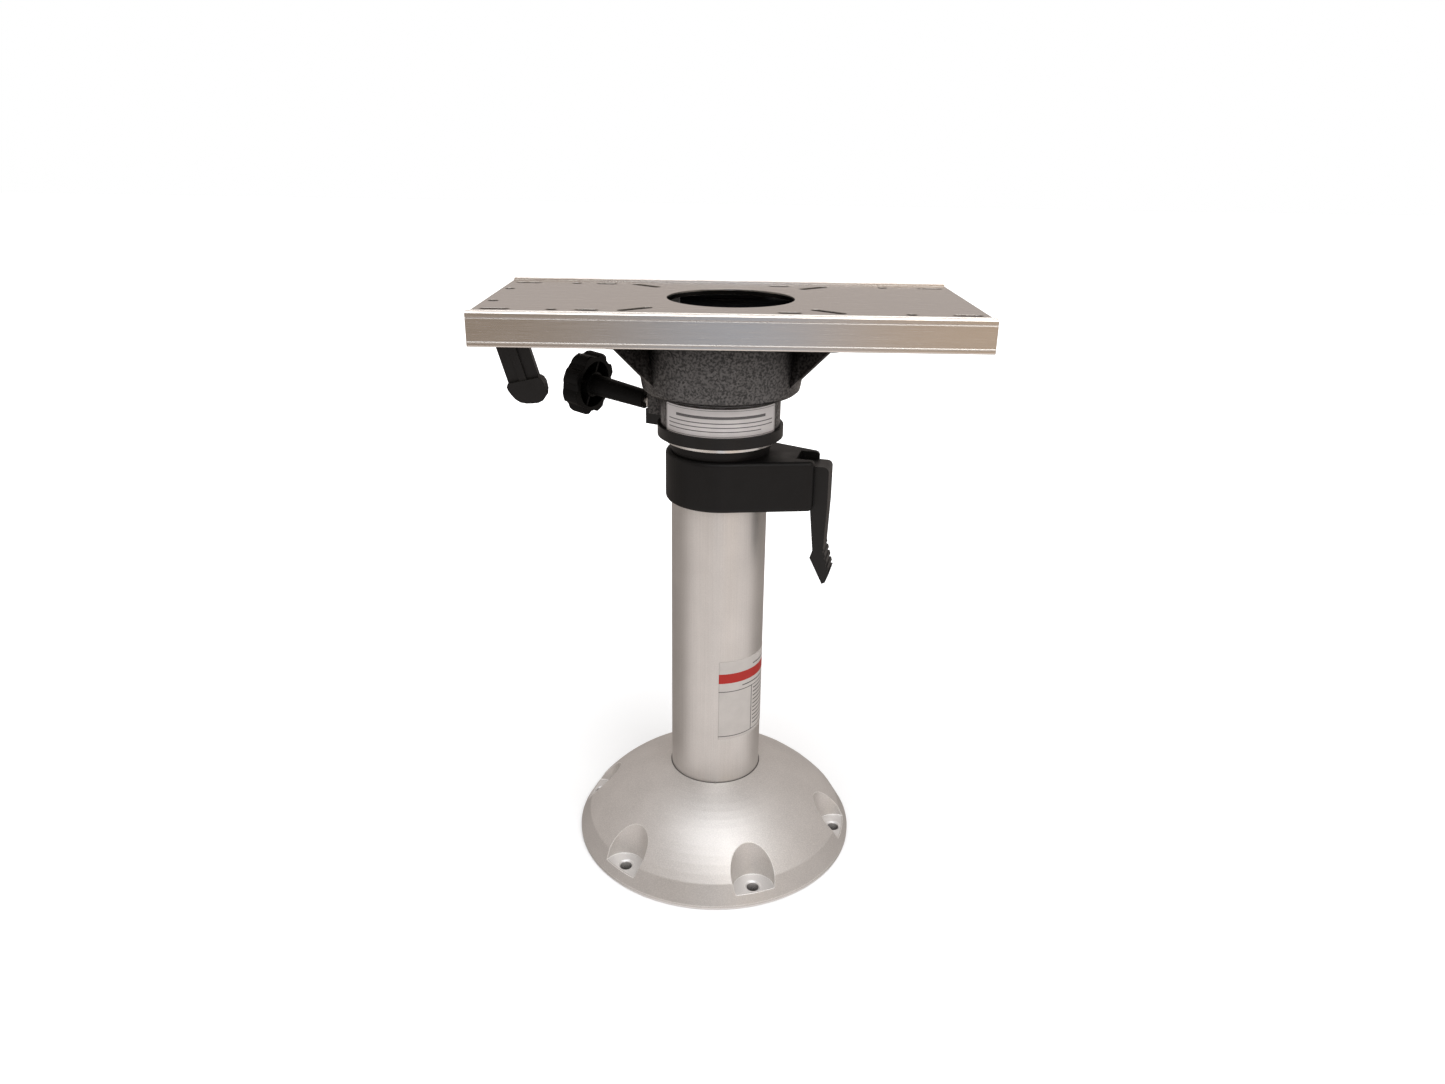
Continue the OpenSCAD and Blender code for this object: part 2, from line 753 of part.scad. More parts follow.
// Half section of the cast neck and bowl
module bowl_section() {
    difference() {
        polygon([[hub_bore_r, collar_z + collar_step], [neck_r, collar_z + collar_step],
            [neck_r, bowl_z], [neck_r + 5, bowl_z + 1.5], [bowl_foot_r - 3, bowl_z + 3.5],
            [bowl_foot_r - 0.6, bowl_z + 5.5], [bowl_foot_r, bowl_z + 8],
            [bowl_top_r, flange_z + tiny], [hub_bore_r, flange_z + tiny]]);
        // Ring-shaped space round the hub, open below
        polygon([[hub_r, 0], [neck_in_r, 0], [neck_in_r, bowl_floor_z - 1],
            [neck_in_r - 1, bowl_floor_z], [hub_r, bowl_floor_z]]);
        // The hub stops short of the ring below it
        polygon([[0, 0], [neck_in_r, 0], [neck_in_r, collar_z + thrust_t + 0.5],
            [0, collar_z + thrust_t + 0.5]]);
        // The bowl, open above
        polygon([[hub_r, bowl_floor_z + bowl_floor_t],
            [bowl_foot_r - head_wall - 2, bowl_floor_z + bowl_floor_t],
            [bowl_foot_r - head_wall, bowl_floor_z + bowl_floor_t + 3],
            [bowl_top_r - head_wall, flange_z + 1], [hub_r, flange_z + 1]]);
        polygon([[0, shaft_top], [hub_r + 1, shaft_top], [hub_r + 1, flange_z + 1],
            [0, flange_z + 1]]);
    }
}

module head_flange() {
    corner = 12;
    translate([0, 0, flange_z])
        difference() {
            union() {
                translate([-flange_l / 2 + corner, -flange_w / 2, 0])
                    cube([flange_l - 2 * corner, flange_w, flange_t]);
                translate([-flange_l / 2, -flange_w / 2 + corner, 0])
                    cube([flange_l, flange_w - 2 * corner, flange_t]);
                for (sx = [-1, 1])
                    for (sy = [-1, 1])
                        translate([sx * (flange_l / 2 - corner), sy * (flange_w / 2 - corner), 0])
                            cylinder(r = corner, h = flange_t);
            }
            translate([0, 0, -1])
                cylinder(r = bowl_top_r - head_wall, h = flange_t + 2, $fn = 120);
        }
}

// A gusset from the bowl up to a corner of the flange
module gusset() {
    slope_run = gusset_reach - bowl_foot_r;
    side_plate(gusset_t)
        polygon([[bowl_foot_r - 2, bowl_z + gusset_foot], [bowl_foot_r + 0.5, flange_z - slope_run + 0.5],
            [gusset_reach, flange_z + tiny], [bowl_top_r - 3, flange_z + tiny],
            [bowl_foot_r - 1, bowl_z + gusset_foot + 5]]);
}

module at_head_bolts() {
    for (sx = [-1, 1])
        for (sy = [-1, 1])
            translate([sx * head_bolt_x, sy * head_bolt_y, 0])
                children();
}

module swivel_head() {
    pad_h = 3;
    color([0.22, 0.22, 0.22])
        difference() {
            union() {
                rotate_extrude($fn = 120)
                    bowl_section();
                head_flange();
                for (turn = [gusset_turn, -gusset_turn, 180 - gusset_turn, 180 + gusset_turn])
                    rotate([0, 0, turn])
                        gusset();
                at_head_bolts()
                    translate([0, 0, flange_z - pad_h])
                        cylinder(d = 2 * head_bolt_d, h = pad_h + tiny, $fn = 48);
                lock_boss();
            }
            lock_rod(lock_pin_r + run_gap, hub_bore_r - 3, boss_reach + 9);
            lock_rod(spring_room_r, shoulder_at - 1, boss_reach + 9);
            at_head_bolts()
                translate([0, 0, flange_z - pad_h - 1])
                    cylinder(d = head_bolt_d + seat_gap, h = flange_t + pad_h + 2, $fn = 48);
        }
}

// The block on the neck and the barrel through it that hold the plunger
module lock_boss() {
    difference() {
        union() {
            rotate([0, 0, lock_turn])
                translate([neck_in_r + 1, -boss_w / 2, boss_z])
                    cube([boss_reach - neck_in_r - 1, boss_w, boss_top - boss_z]);
            intersection() {
                lock_rod(spring_room_r + 2, hub_bore_r + 1, neck_r);
                ring(neck_r - 1, hub_bore_r + 1, boss_z - 6, boss_top);
            }
        }
        translate([0, 0, collar_z])
            cylinder(r = hub_bore_r, h = boss_top);
    }
}

module lock_guide() {
    color([0.75, 0.74, 0.7])
        difference() {
            union() {
                lock_rod(spring_room_r - seat_gap, guide_from, guide_to);
                lock_rod(spring_room_r + guide_rim, guide_to - tiny, guide_to + 1.5, 6);
            }
            lock_rod(lock_pin_r + pin_gap, guide_from - 1, guide_to + 3);
        }
}

module lock_pin() {
    color([0.7, 0.7, 0.68])
        union() {
            lock_rod(lock_pin_r, tip_at, sleeve_from + pin_grip);
            lock_rod(spring_room_r - run_gap, shoulder_at, shoulder_at + shoulder_t);
        }
}

module lock_spring() {
    from = shoulder_at + shoulder_t + run_gap + spring_wire / 2;
    to = guide_from - run_gap - spring_wire / 2;
    color([0.6, 0.6, 0.6])
        on_lock_line()
            translate([from, 0, 0])
                coil(spring_mid_r, spring_wire, to - from, 6, 14, 6);
}

// Plan of the knob: a disc with lobes round it
module knob_plan() {
    lobe_r = knob_d * 0.135;
    circle(d = knob_d - lobe_r * 0.95);
    for (i = [0 : lobe_count - 1])
        rotate((i + 0.5) * 360 / lobe_count)
            translate([knob_d / 2 - lobe_r, 0])
                circle(r = lobe_r, $fn = 32);
}

module lock_knob() {
    rim_t = 3.2;
    back_t = 4.5;
    round = 3.5;
    hub = sleeve_r + 2;
    color([0.06, 0.06, 0.06])
        on_lock_line()
            rotate([0, 90, 0])
                difference() {
                    union() {
                        translate([0, 0, sleeve_from])
                            cylinder(r1 = sleeve_r - 0.8, r2 = sleeve_r + 0.6,
                                h = knob_from - sleeve_from + knob_t - back_t);
                        intersection() {
                            translate([0, 0, knob_from])
                                linear_extrude(knob_t)
                                    knob_plan();
                            rotate_extrude()
                                polygon([[0, knob_from], [knob_d / 2 - 0.8, knob_from],
                                    [knob_d / 2 + 0.1, knob_from + 1],
                                    [knob_d / 2 + 0.1, knob_from + knob_t - round],
                                    [knob_d / 2 - 1, knob_from + knob_t - round * 0.4],
                                    [knob_d / 2 - round, knob_from + knob_t - 0.4],
                                    [knob_d / 4, knob_from + knob_t],
                                    [0, knob_from + knob_t]]);
                        }
                    }
                    // Dished back with four webs left between the hub and the rim
                    difference() {
                        translate([0, 0, knob_from - 1])
                            cylinder(d = knob_d - knob_d * 0.135 - 2 * rim_t, h = knob_t - back_t + 1);
                        translate([0, 0, sleeve_from])
                            cylinder(r = hub, h = knob_from);
                        for (i = [0 : 3])
                            rotate([0, 0, 20 + 90 * i])
                                translate([0, -1, knob_from + 2])
                                    cube([knob_d / 2, 2, knob_t]);
                    }
                    translate([0, 0, sleeve_from - 1])
                        cylinder(r = lock_pin_r + seat_gap / 2, h = pin_grip + 1 + seat_gap, $fn = 48);
                }
}

// Lower slide: a tray with raised runners
module lower_slide() {
    module half() {
        translate([-tiny, tray_z])
            square([tray_half + tiny, lower_t]);
        translate([tray_half - lower_t, tray_z])
            square([lower_t, runner_rise + lower_t]);
        translate([tray_half - lower_t, runner_z])
            square([runner_half - tray_half + lower_t, lower_t]);
    }
    window_l = tooth_reach + 8;
    color([0.62, 0.62, 0.62])
        difference() {
            rotate([90, 0, 90])
                translate([0, 0, -lower_l / 2])
                    linear_extrude(lower_l)
                        union() {
                            half();
                            mirror([1, 0])
                                half();
                        }
            translate([0, 0, tray_z - 1])
                cylinder(d = lower_hole_d, h = lower_t + 2, $fn = 120);
            at_head_bolts()
                translate([0, 0, tray_z - 1])
                    cylinder(d = head_bolt_d + 2 * seat_gap, h = lower_t + 2, $fn = 48);
            translate([stop_pin_x, stop_y, tray_z - 1])
                cylinder(r = stop_pin_r / 2 + seat_gap / 2, h = lower_t + 2, $fn = 32);
            // Window that the latch arm drops into
            translate([latch_x + hub_latch_r + 1.5, latch_y - arm_w / 2 - 1, tray_z - 1])
                cube([window_l - hub_latch_r, arm_w + 2, lower_t + 2]);
        }
}

module head_bolts() {
    washer_t = 1.2;
    color([0.7, 0.7, 0.7])
        at_head_bolts() {
            difference() {
                union() {
                    translate([0, 0, flange_z - 2])
                        cylinder(d = head_bolt_d, h = tray_top + washer_t - flange_z + 2 + tiny,
                            $fn = 48);
                    translate([0, 0, tray_top + washer_t])
                        cylinder(d1 = head_bolt_d * 1.6, d2 = head_bolt_d * 1.1, h = 3.2, $fn = 48);
                }
                translate([0, 0, tray_top + washer_t + 1.2])
                    cylinder(d = head_bolt_d * 0.6, h = 4, $fn = 6);
            }
        }
}

module head_washers() {
    color([0.75, 0.75, 0.75])
        at_head_bolts()
            ring(head_bolt_d * 0.95, head_bolt_d / 2 + seat_gap, tray_top, tray_top + 1.2);
}

// Plastic runner shoe that wraps one edge of the lower slide
module glide(side) {
    inner = tray_half + 2.5;
    outer = side_in - run_gap;
    color([0.1, 0.1, 0.1])
        translate([-glide_l / 2, 0, 0])
            rotate([90, 0, 90])
                linear_extrude(glide_l)
                    scale([side, 1])
                        difference() {
                            translate([inner, lip_z + lip_t + run_gap])
                                square([outer - inner, web_z - lip_z - lip_t - 2 * run_gap]);
                            translate([inner - 1, runner_z - seat_gap / 2])
                                square([runner_half - inner + 1 + seat_gap, lower_t + seat_gap]);
                        }
}

module front_glide() {
    glide(-1);
}

module back_glide() {
    glide(1);
}

module stop_pin() {
    color([0.7, 0.7, 0.7])
        translate([stop_pin_x, stop_y, 0]) {
            translate([0, 0, tray_z + 0.5])
                cylinder(r = stop_pin_r / 2, h = lower_t, $fn = 32);
            translate([0, 0, tray_top])
                cylinder(r = stop_pin_r, h = web_z - tray_top - 1.5, $fn = 48);
        }
}

// Half section of the seat plate extrusion, measured from its middle
module plate_half() {
    edge = plate_w / 2;
    groove_r = 0.7;
    round = 2;
    bead = 7.5;
    difference() {
        union() {
            translate([-tiny, web_z])
                square([edge - round + tiny, web_t]);
            translate([edge - bead, web_z])
                square([bead - round, plate_top - web_z]);
            translate([side_in, lip_z + 1])
                square([side_t, plate_h - round - 1]);
            translate([edge - round, plate_top - round])
                circle(r = round, $fn = 32);
            translate([lip_in, lip_z])
                square([lip_w - 1, lip_t]);
            translate([edge - 1, lip_z + 1])
                circle(r = 1, $fn = 24);
            // Bead along the foot of the side
            translate([edge, lip_z + lip_t + 0.4])
                circle(r = 0.5, $fn = 20);
        }
        // Grooves that set the bright beads apart
        for (at = [edge - bead * 0.36, edge - bead * 0.72])
            translate([at, plate_top + groove_r * 0.25])
                circle(r = groove_r, $fn = 20);
        translate([edge + 0.15, plate_top - round - 2])
            circle(r = 0.5, $fn = 20);
    }
}

// Slots and holes for the seat, cut through the web
module seat_holes() {
    deep = web_t + web_drop + 4;
    translate([plate_shift, 0, web_z - 2]) {
        for (sy = [-1, 1]) {
            for (sx = [-1, 1]) {
                translate([sx * outer_slot_x, sy * slot_y, 0])
                    slot_cut(outer_slot_l, slot_w, deep);
                translate([sx * seat_hole_x, sy * slot_y, 0])
                    cylinder(d = seat_hole_d, h = deep, $fn = 32);
                translate([sx * diagonal_x, sy * diagonal_y, 0])
                    rotate([0, 0, sx * sy * diagonal_turn])
                        slot_cut(diagonal_l, slot_w, deep);
            }
            for (x = mid_slot_x)
                translate([x, sy * slot_y, 0])
                    slot_cut(mid_slot_l, slot_w, deep);
            translate([-end_hole_x, sy * end_hole_pitch / 2, 0])
                cylinder(d = seat_hole_d, h = deep, $fn = 32);
        }
        cylinder(d = plate_hole_d, h = deep, $fn = 120);
    }
}

module upper_slide() {
    color([0.8, 0.79, 0.77])
        difference() {
            translate([plate_x0, 0, 0])
                rotate([90, 0, 90])
                    linear_extrude(plate_l)
                        union() {
                            plate_half();
                            mirror([1, 0])
                                plate_half();
                        }
            seat_holes();
        }
}

module latch_strip() {
    color([0.6, 0.6, 0.6])
        difference() {
            translate([strip_x0, latch_y - strip_w / 2, strip_z])
                cube([strip_x1 - strip_x0, strip_w, strip_t]);
            for (i = [-6 : 6]) {
                x = tooth_x + (i + 0.5) * strip_pitch;
                if (x - strip_x0 > tooth_l && strip_x1 - x > tooth_l)
                    translate([x - tooth_l / 2 - 1, latch_y - arm_w / 2 + 1, strip_z - 1])
                        cube([tooth_l + 2, arm_w - 2, strip_t + 2]);
            }
        }
}

module slide_stops() {
    stop_h = 6;
    color([0.5, 0.5, 0.5])
        for (x = [stop_pin_x - stop_near, stop_pin_x + stop_far])
            translate([x - stop_half, stop_y - stop_w / 2, web_z - stop_h])
                cube([2 * stop_half, stop_w, stop_h]);
}

module latch_bracket() {
    cheek_t = 2.2;
    inner = arm_w / 2 + 3;
    foot_w = 6;
    bore_half = inner + cheek_t + foot_w;
    color([0.6, 0.6, 0.6])
        difference() {
            union() {
                for (side = [-1, 1]) {
                    side_plate(cheek_t, latch_y + side * (inner + cheek_t / 2)) {
                        translate([latch_x, latch_z])
                            circle(r = hub_latch_r + 0.4, $fn = 40);
                        translate([latch_x - hub_latch_r - 0.4, tray_top])
                            square([2 * hub_latch_r + 0.8, latch_z - tray_top]);
                    }
                    translate([latch_x - hub_latch_r - 0.4,
                        latch_y + side * (inner + (cheek_t + foot_w) / 2) - (cheek_t + foot_w) / 2,
                        tray_top])
                        cube([2 * hub_latch_r + 0.8, cheek_t + foot_w, 1.6]);
                }
                translate([latch_x + hub_latch_r - 1.6, latch_y - inner - 1, tray_top])
                    cube([2, 2 * inner + 2, 0.8]);
            }
            translate([latch_x, latch_y + bore_half, latch_z])
                rotate([90, 0, 0])
                    cylinder(d = latch_pin_d + seat_gap, h = 2 * bore_half, $fn = 40);
        }
}

module latch_pin() {
    reach = arm_w / 2 + 6.4;
    color([0.72, 0.72, 0.72])
        translate([latch_x, latch_y + reach, latch_z])
            rotate([90, 0, 0])
                cylinder(d = latch_pin_d, h = 2 * reach, $fn = 40);
}

// Torsion spring on the latch pin, beside the arm
module latch_spring() {
    wire = 0.7;
    color([0.55, 0.55, 0.55])
        translate([latch_x, latch_y + arm_w / 2 + 0.3 + wire / 2, latch_z])
            rotate([0, 0, 90])
                coil(latch_pin_d / 2 + 1, wire, 1.7, 2, 16, 6);
}

// Side of the latch arm: tooth, beam, hub and the knee that drops below the slide
module latch_outline() {
    half = arm_t / 2;
    difference() {
        union() {
            translate([latch_x, latch_z])
                circle(r = hub_latch_r, $fn = 40);
            translate([latch_x, latch_z - half])
                square([tooth_reach + tooth_l / 2, arm_t]);
            translate([tooth_x - tooth_l / 2, latch_z])
                square([tooth_l, strip_z - run_gap - latch_z]);
            polygon([[latch_x - 1, latch_z + hub_latch_r * 0.6], [latch_x - 1, latch_z - half],
                [knee_x + half * 1.3, knee_z - half], [knee_x + half, knee_z - arm_t],
                [knee_x - half, knee_z - arm_t], [knee_x - half * 1.3, knee_z + half]]);
        }
        translate([latch_x, latch_z])
            circle(d = latch_pin_d + 2 * pin_gap, $fn = 40);
    }
}

// Side of the narrow tang that runs from the knee down into the grip
module tang_outline() {
    lean = tan(grip_lean);
    half = arm_t / 2 / cos(grip_lean);
    top = knee_z - arm_t / 2;
    foot = grip_top_z - tang_grip;
    polygon([[knee_x - half, top], [knee_x + half, top],
        [knee_x + half + (top - foot) * lean, foot], [knee_x - half + (top - foot) * lean, foot]]);
}

module slide_latch() {
    color([0.65, 0.65, 0.65])
        union() {
            side_plate(arm_w, latch_y)
                latch_outline();
            side_plate(tang_w, latch_y)
                tang_outline();
        }
}

// Side of the thin shank of the grip, with its top at the origin and its length down -Y
module shank_outline(half) {
    polygon([[-half, 0], [half, 0], [half, -0.68 * grip_len], [-half, -0.68 * grip_len]]);
}

// Side of the thick paddle at the end of the grip
module paddle_outline() {
    half = grip_w / 2;
    shape = [[-1, -0.6], [-1.14, -0.645], [-1.12, -0.71], [-1, -0.79], [-0.84, -0.865],
        [-0.6, -0.925], [-0.27, -0.963], [0.1, -0.985], [0.5, -1], [0.83, -0.985],
        [1.06, -0.94], [1.2, -0.86], [1.25, -0.742], [1.17, -0.67], [1, -0.63]];
    polygon([for (p = shape) [p[0] * half, p[1] * grip_len]]);
}

module slide_handle() {
    thin = 5;
    proud = 1.5;
    rib = 2.6;
    color([0.06, 0.06, 0.06])
        difference() {
            translate([knee_x + (knee_z - grip_top_z) * tan(grip_lean), latch_y, grip_top_z])
                rotate([0, -grip_lean, 0])
                    union() {
                        side_plate(grip_t - thin)
                            shank_outline(grip_w / 2);
                        side_plate(grip_t - proud)
                            shank_outline(rib);
                        side_plate(grip_t)
                            paddle_outline();
                    }
            side_plate(tang_w + 2 * seat_gap, latch_y)
                offset(delta = seat_gap)
                    tang_outline();
        }
}

base();
outer_tube();
tube_bushing();
clamp_housing();
clamp_pin();
clamp_lever();
clamp_shoe();
inner_tube();
inner_guide();
swivel_spindle();
swivel_collar();
swivel_head();
head_bushing();
lock_guide();
lock_pin();
lock_spring();
lock_knob();
lower_slide();
head_bolts();
head_washers();
front_glide();
back_glide();
stop_pin();
upper_slide();
latch_strip();
slide_stops();
latch_bracket();
latch_pin();
latch_spring();
slide_latch();
slide_handle();
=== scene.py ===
"""Finishes, labels, studio and camera for a boat seat pedestal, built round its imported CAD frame."""

import math

import bpy
import numpy as np
from mathutils import Matrix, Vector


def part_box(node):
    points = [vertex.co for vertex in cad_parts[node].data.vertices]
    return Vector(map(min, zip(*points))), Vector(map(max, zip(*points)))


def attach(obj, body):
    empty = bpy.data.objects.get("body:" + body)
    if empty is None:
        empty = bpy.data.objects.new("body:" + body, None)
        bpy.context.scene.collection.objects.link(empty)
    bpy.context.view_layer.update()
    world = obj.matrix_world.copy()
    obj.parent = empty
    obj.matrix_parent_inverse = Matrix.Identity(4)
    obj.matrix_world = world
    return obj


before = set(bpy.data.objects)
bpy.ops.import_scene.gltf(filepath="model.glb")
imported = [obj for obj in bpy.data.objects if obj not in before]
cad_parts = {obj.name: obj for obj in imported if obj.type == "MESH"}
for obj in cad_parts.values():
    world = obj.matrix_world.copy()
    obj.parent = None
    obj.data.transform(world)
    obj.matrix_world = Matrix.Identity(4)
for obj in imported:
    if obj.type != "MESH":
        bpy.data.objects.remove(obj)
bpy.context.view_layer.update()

bl_info = {
    "name": "Boat Seat Pedestal",
    "version": (1, 0, 0),
    "blender": (4, 5, 0),
    "location": "View3D > Sidebar > Pedestal",
    "description": "Finishes, labels, studio and camera for a boat seat pedestal",
    "category": "Object",
}

MM = 0.001
BLACK = (0.0, 0.0, 0.0)

# Base: outer radius, height of the crease between skirt and dome, how far the skirt leans in for
# each unit of height, height of the pocket floors, and a height that the post's seam stands above.
BASE_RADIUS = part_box("base")[1].x
SKIRT_TOP = 17 * MM
SKIRT_LEAN = 8.2 / 14
POCKET_FLOOR = 9.5 * MM
SEAM_ABOVE = 40 * MM

# Base: tones of the painted highlights on its edges and on its pocket floors, in linear light.
EDGE_HIGHLIGHT = (1.0, 0.98, 0.96)
POCKET_HIGHLIGHT = (0.90, 0.90, 0.90)

# Post and neck, which carry the labels.
POST_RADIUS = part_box("outer_tube")[1].x
NECK_RADIUS = 44.5 * MM

# Seat plate: heights of its foot and of its top, and half the width between its rows of slots.
PLATE_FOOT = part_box("upper_slide")[0].z
PLATE_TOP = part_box("upper_slide")[1].z
PLATE_MIDDLE = 60 * MM

# Bowl of the swivel head: heights and outer radii at its foot and at its top.
BOWL_FOOT = 376 * MM
BOWL_TOP = 421 * MM
BOWL_FOOT_RADIUS = 58.5 * MM
BOWL_TOP_RADIUS = 64.5 * MM

# Labels: rows of thin bars, their pitch in millimetres, and the share of the ground that ink hides.
POST_BARS = 10
POST_BAR_PITCH = 3.6
NECK_BARS = 3
NECK_BAR_PITCH = 3.0
INK_COVER = 0.85

# Floor: half its width, and the tones that it wanders between, in linear light.
FLOOR_REACH = 9.0
FLOOR_DARK = (0.83, 0.83, 0.83)
FLOOR_LIGHT = (0.85, 0.85, 0.85)

# Glowing ball: its radius, and the tones of its room, panel and ground, in linear light.
SHELL_RADIUS = 2.7
ROOM_TONE = (0.53, 0.478, 0.448)
PANEL_COOL = (0.57, 0.69, 0.87)
PANEL_TAN = (0.71, 0.55, 0.40)
GROUND_BACK = (0.27, 0.235, 0.21)
GROUND_FRONT = (1.04, 0.975, 0.95)

# Camera: place in metres, turns in degrees, sensor width in millimetres, and in pixels the width,
# focal length and vertical shift of the picture. A shift below zero moves the picture up.
CAMERA_PLACE = (-3.9 * MM, -731.8 * MM, 549.6 * MM)
CAMERA_YAW = 0.53
CAMERA_PITCH = -21.0
CAMERA_ROLL = 0.97
SENSOR_WIDTH = 36.0
PICTURE_WIDTH = 1445
FOCAL_PIXELS = 1009.4
SHIFT_PIXELS = -13.1

CAST_NODES = ("base",)
TUBE_NODES = ("outer_tube", "inner_tube")
TURNED_NODES = ("swivel_spindle",)
PLATE_NODES = ("upper_slide", "lower_slide")
HAMMERED_NODES = ("swivel_head",)
CLAMP_NODES = ("clamp_housing", "tube_bushing")
LEVER_NODES = ("clamp_lever",)
GRIP_NODES = ("swivel_collar", "slide_handle")
KNOB_NODES = ("lock_knob",)
GLIDE_NODES = ("front_glide", "back_glide", "inner_guide")
NATURAL_NODES = ("head_bushing",)
SHOE_NODES = ("clamp_shoe",)
PLATED_NODES = (
    "clamp_pin",
    "lock_guide",
    "lock_pin",
    "head_bolts",
    "head_washers",
    "stop_pin",
    "latch_pin",
)
PRESSED_NODES = ("latch_strip", "slide_stops", "latch_bracket", "slide_latch")
WIRE_NODES = ("lock_spring", "latch_spring")


def colour_setting(name, description, value):
    """A colour that the panel shows, in linear light."""
    return bpy.props.FloatVectorProperty(
        name=name, description=description, default=value, size=3, min=0.0, max=1.0, subtype="COLOR"
    )


def length_setting(name, description, value):
    """A length in metres that the panel shows."""
    return bpy.props.FloatProperty(
        name=name, description=description, default=value, min=0.0, unit="LENGTH"
    )


def turn_setting(name, description, degrees):
    """An angle that the panel shows, given here in degrees."""
    return bpy.props.FloatProperty(
        name=name, description=description, default=math.radians(degrees), unit="ROTATION"
    )


class PedestalColours(bpy.types.PropertyGroup):
    """Colours of the finishes."""

    cast: colour_setting("Cast base", "Silver coat on the cast base", (0.60, 0.575, 0.55))
    tube: colour_setting("Post", "Anodised tubes of the post and the riser", (0.62, 0.595, 0.57))
    plate: colour_setting("Seat plate", "Brushed extrusion of the seat slide", (0.56, 0.52, 0.48))
    turned: colour_setting("Spindle", "Bright turned flange under the head", (0.72, 0.71, 0.69))
    hammered: colour_setting("Swivel head", "Hammered enamel on the casting", (0.040, 0.0375, 0.0365))
    moulding: colour_setting(
        "Black mouldings", "Clamp, bushing, lever, collar, knob and grip", (0.0055, 0.005, 0.0048)
    )
    glide: colour_setting("Glides", "Runners in the slide and guide of the riser", (0.02, 0.02, 0.02))
    natural: colour_setting("Sleeve", "Natural plastic sleeve on the spindle", (0.62, 0.60, 0.54))
    shoe: colour_setting("Clamp shoe", "Grey glass-filled plastic", (0.14, 0.14, 0.14))
    plated: colour_setting("Plated steel", "Pins, bolts and washers", (0.58, 0.56, 0.53))
    pressed: colour_setting("Pressed steel", "Latch parts, slide stops and springs", (0.42, 0.42, 0.42))
    post_field: colour_setting("Post label", "Pale field of the label on the post", (0.55, 0.51, 0.48))
    neck_field: colour_setting("Neck label", "Pale field of the label on the neck", (0.66, 0.62, 0.61))
    label_ink: colour_setting("Label lines", "Lines and bars of both labels", (0.03, 0.028, 0.03))
    label_band: colour_setting("Label band", "Band across the label on the post", (0.42, 0.020, 0.014))


class PedestalSizes(bpy.types.PropertyGroup):
    """Sizes of the labels and of the grain in the finishes."""

    label_film: length_setting("Label film", "Thickness of a label", 0.15 * MM)
    label_corner: length_setting("Label corner", "Radius of a label's corners", 1.2 * MM)
    post_label_low: length_setting("Post label foot", "Height of the foot of the post label", 101.5 * MM)
    post_label_high: length_setting("Post label head", "Height of the top of the post label", 171.5 * MM)
    post_label_from: turn_setting("Post label start", "Start of the post label about the post", -87.5)
    post_label_to: turn_setting("Post label end", "End of the post label about the post", 6)
    neck_label_low: length_setting("Neck label foot", "Height of the foot of the neck label", 353.6 * MM)
    neck_label_high: length_setting("Neck label head", "Height of the top of the neck label", 374.6 * MM)
    neck_label_from: turn_setting("Neck label start", "Start of the neck label about the neck", -151)
    neck_label_to: turn_setting("Neck label end", "End of the neck label about the neck", -29)
    speck: length_setting("Cast speck", "Size of the specks in the coat of the base", 0.8 * MM)
    hammer_cell: length_setting("Hammer cell", "Size of a dimple in the hammered enamel", 1.6 * MM)


def add_node(tree, kind, values=None, **settings):
    """Adds a shader node, applies its settings, and sets or links each input in values."""
    made = tree.nodes.new(kind)
    for key, value in settings.items():
        setattr(made, key, value)
    for key, value in (values or {}).items():
        if isinstance(value, bpy.types.NodeSocket):
            tree.links.new(value, made.inputs[key])
        else:
            made.inputs[key].default_value = value
    return made


def start_material(name, **constants):
    """A material with one Principled shader. The constants go on its own sockets."""
    material = bpy.data.materials.new(name)
    material.use_nodes = True
    tree = material.node_tree
    tree.nodes.clear()
    shader = add_node(tree, "ShaderNodeBsdfPrincipled")
    for key, value in constants.items():
        shader.inputs[key.replace("_", " ")].default_value = value
    add_node(tree, "ShaderNodeOutputMaterial", {"Surface": shader.outputs["BSDF"]})
    return material, tree, shader


def place_of(tree, stretch=(1.0, 1.0, 1.0)):
    """The point on the object in metres, with each axis multiplied by stretch."""
    point = add_node(tree, "ShaderNodeTexCoord").outputs["Object"]
    return add_node(tree, "ShaderNodeMapping", {"Vector": point, "Scale": stretch}).outputs["Vector"]


def noise_of(tree, place, size, detail=2.0, roughness=0.5):
    """Soft noise whose spots are about size metres wide."""
    values = {"Vector": place, "Scale": 1.0 / size, "Detail": detail, "Roughness": roughness}
    return add_node(tree, "ShaderNodeTexNoise", values).outputs["Fac"]


def remap(tree, value, from_low, from_high, to_low, to_high):
    """The value carried from one range to another in a straight line, and held at its ends."""
    values = {
        "Value": value,
        "From Min": from_low,
        "From Max": from_high,
        "To Min": to_low,
        "To Max": to_high,
    }
    return add_node(tree, "ShaderNodeMapRange", values).outputs["Result"]


def arithmetic(tree, operation, first, second=0.0):
    """One Math node on one or two values."""
    return add_node(tree, "ShaderNodeMath", {0: first, 1: second}, operation=operation).outputs[0]


def blend(tree, *shares):
    """The sum of values, each multiplied by its share."""
    total = 0.0
    for value, share in shares:
        total = arithmetic(tree, "ADD", arithmetic(tree, "MULTIPLY", value, share), total)
    return total


def mix_colours(tree, factor, first, second):
    """The first colour at factor 0 and the second at factor 1."""
    values = {0: factor}
    for slot, colour in ((6, first), (7, second)):
        values[slot] = colour if isinstance(colour, bpy.types.NodeSocket) else (*colour, 1.0)
    return add_node(tree, "ShaderNodeMix", values, data_type="RGBA").outputs[2]


def shade(colour, factor):
    """The colour made lighter or darker by a factor."""
    return tuple(min(1.0, channel * factor) for channel in colour)


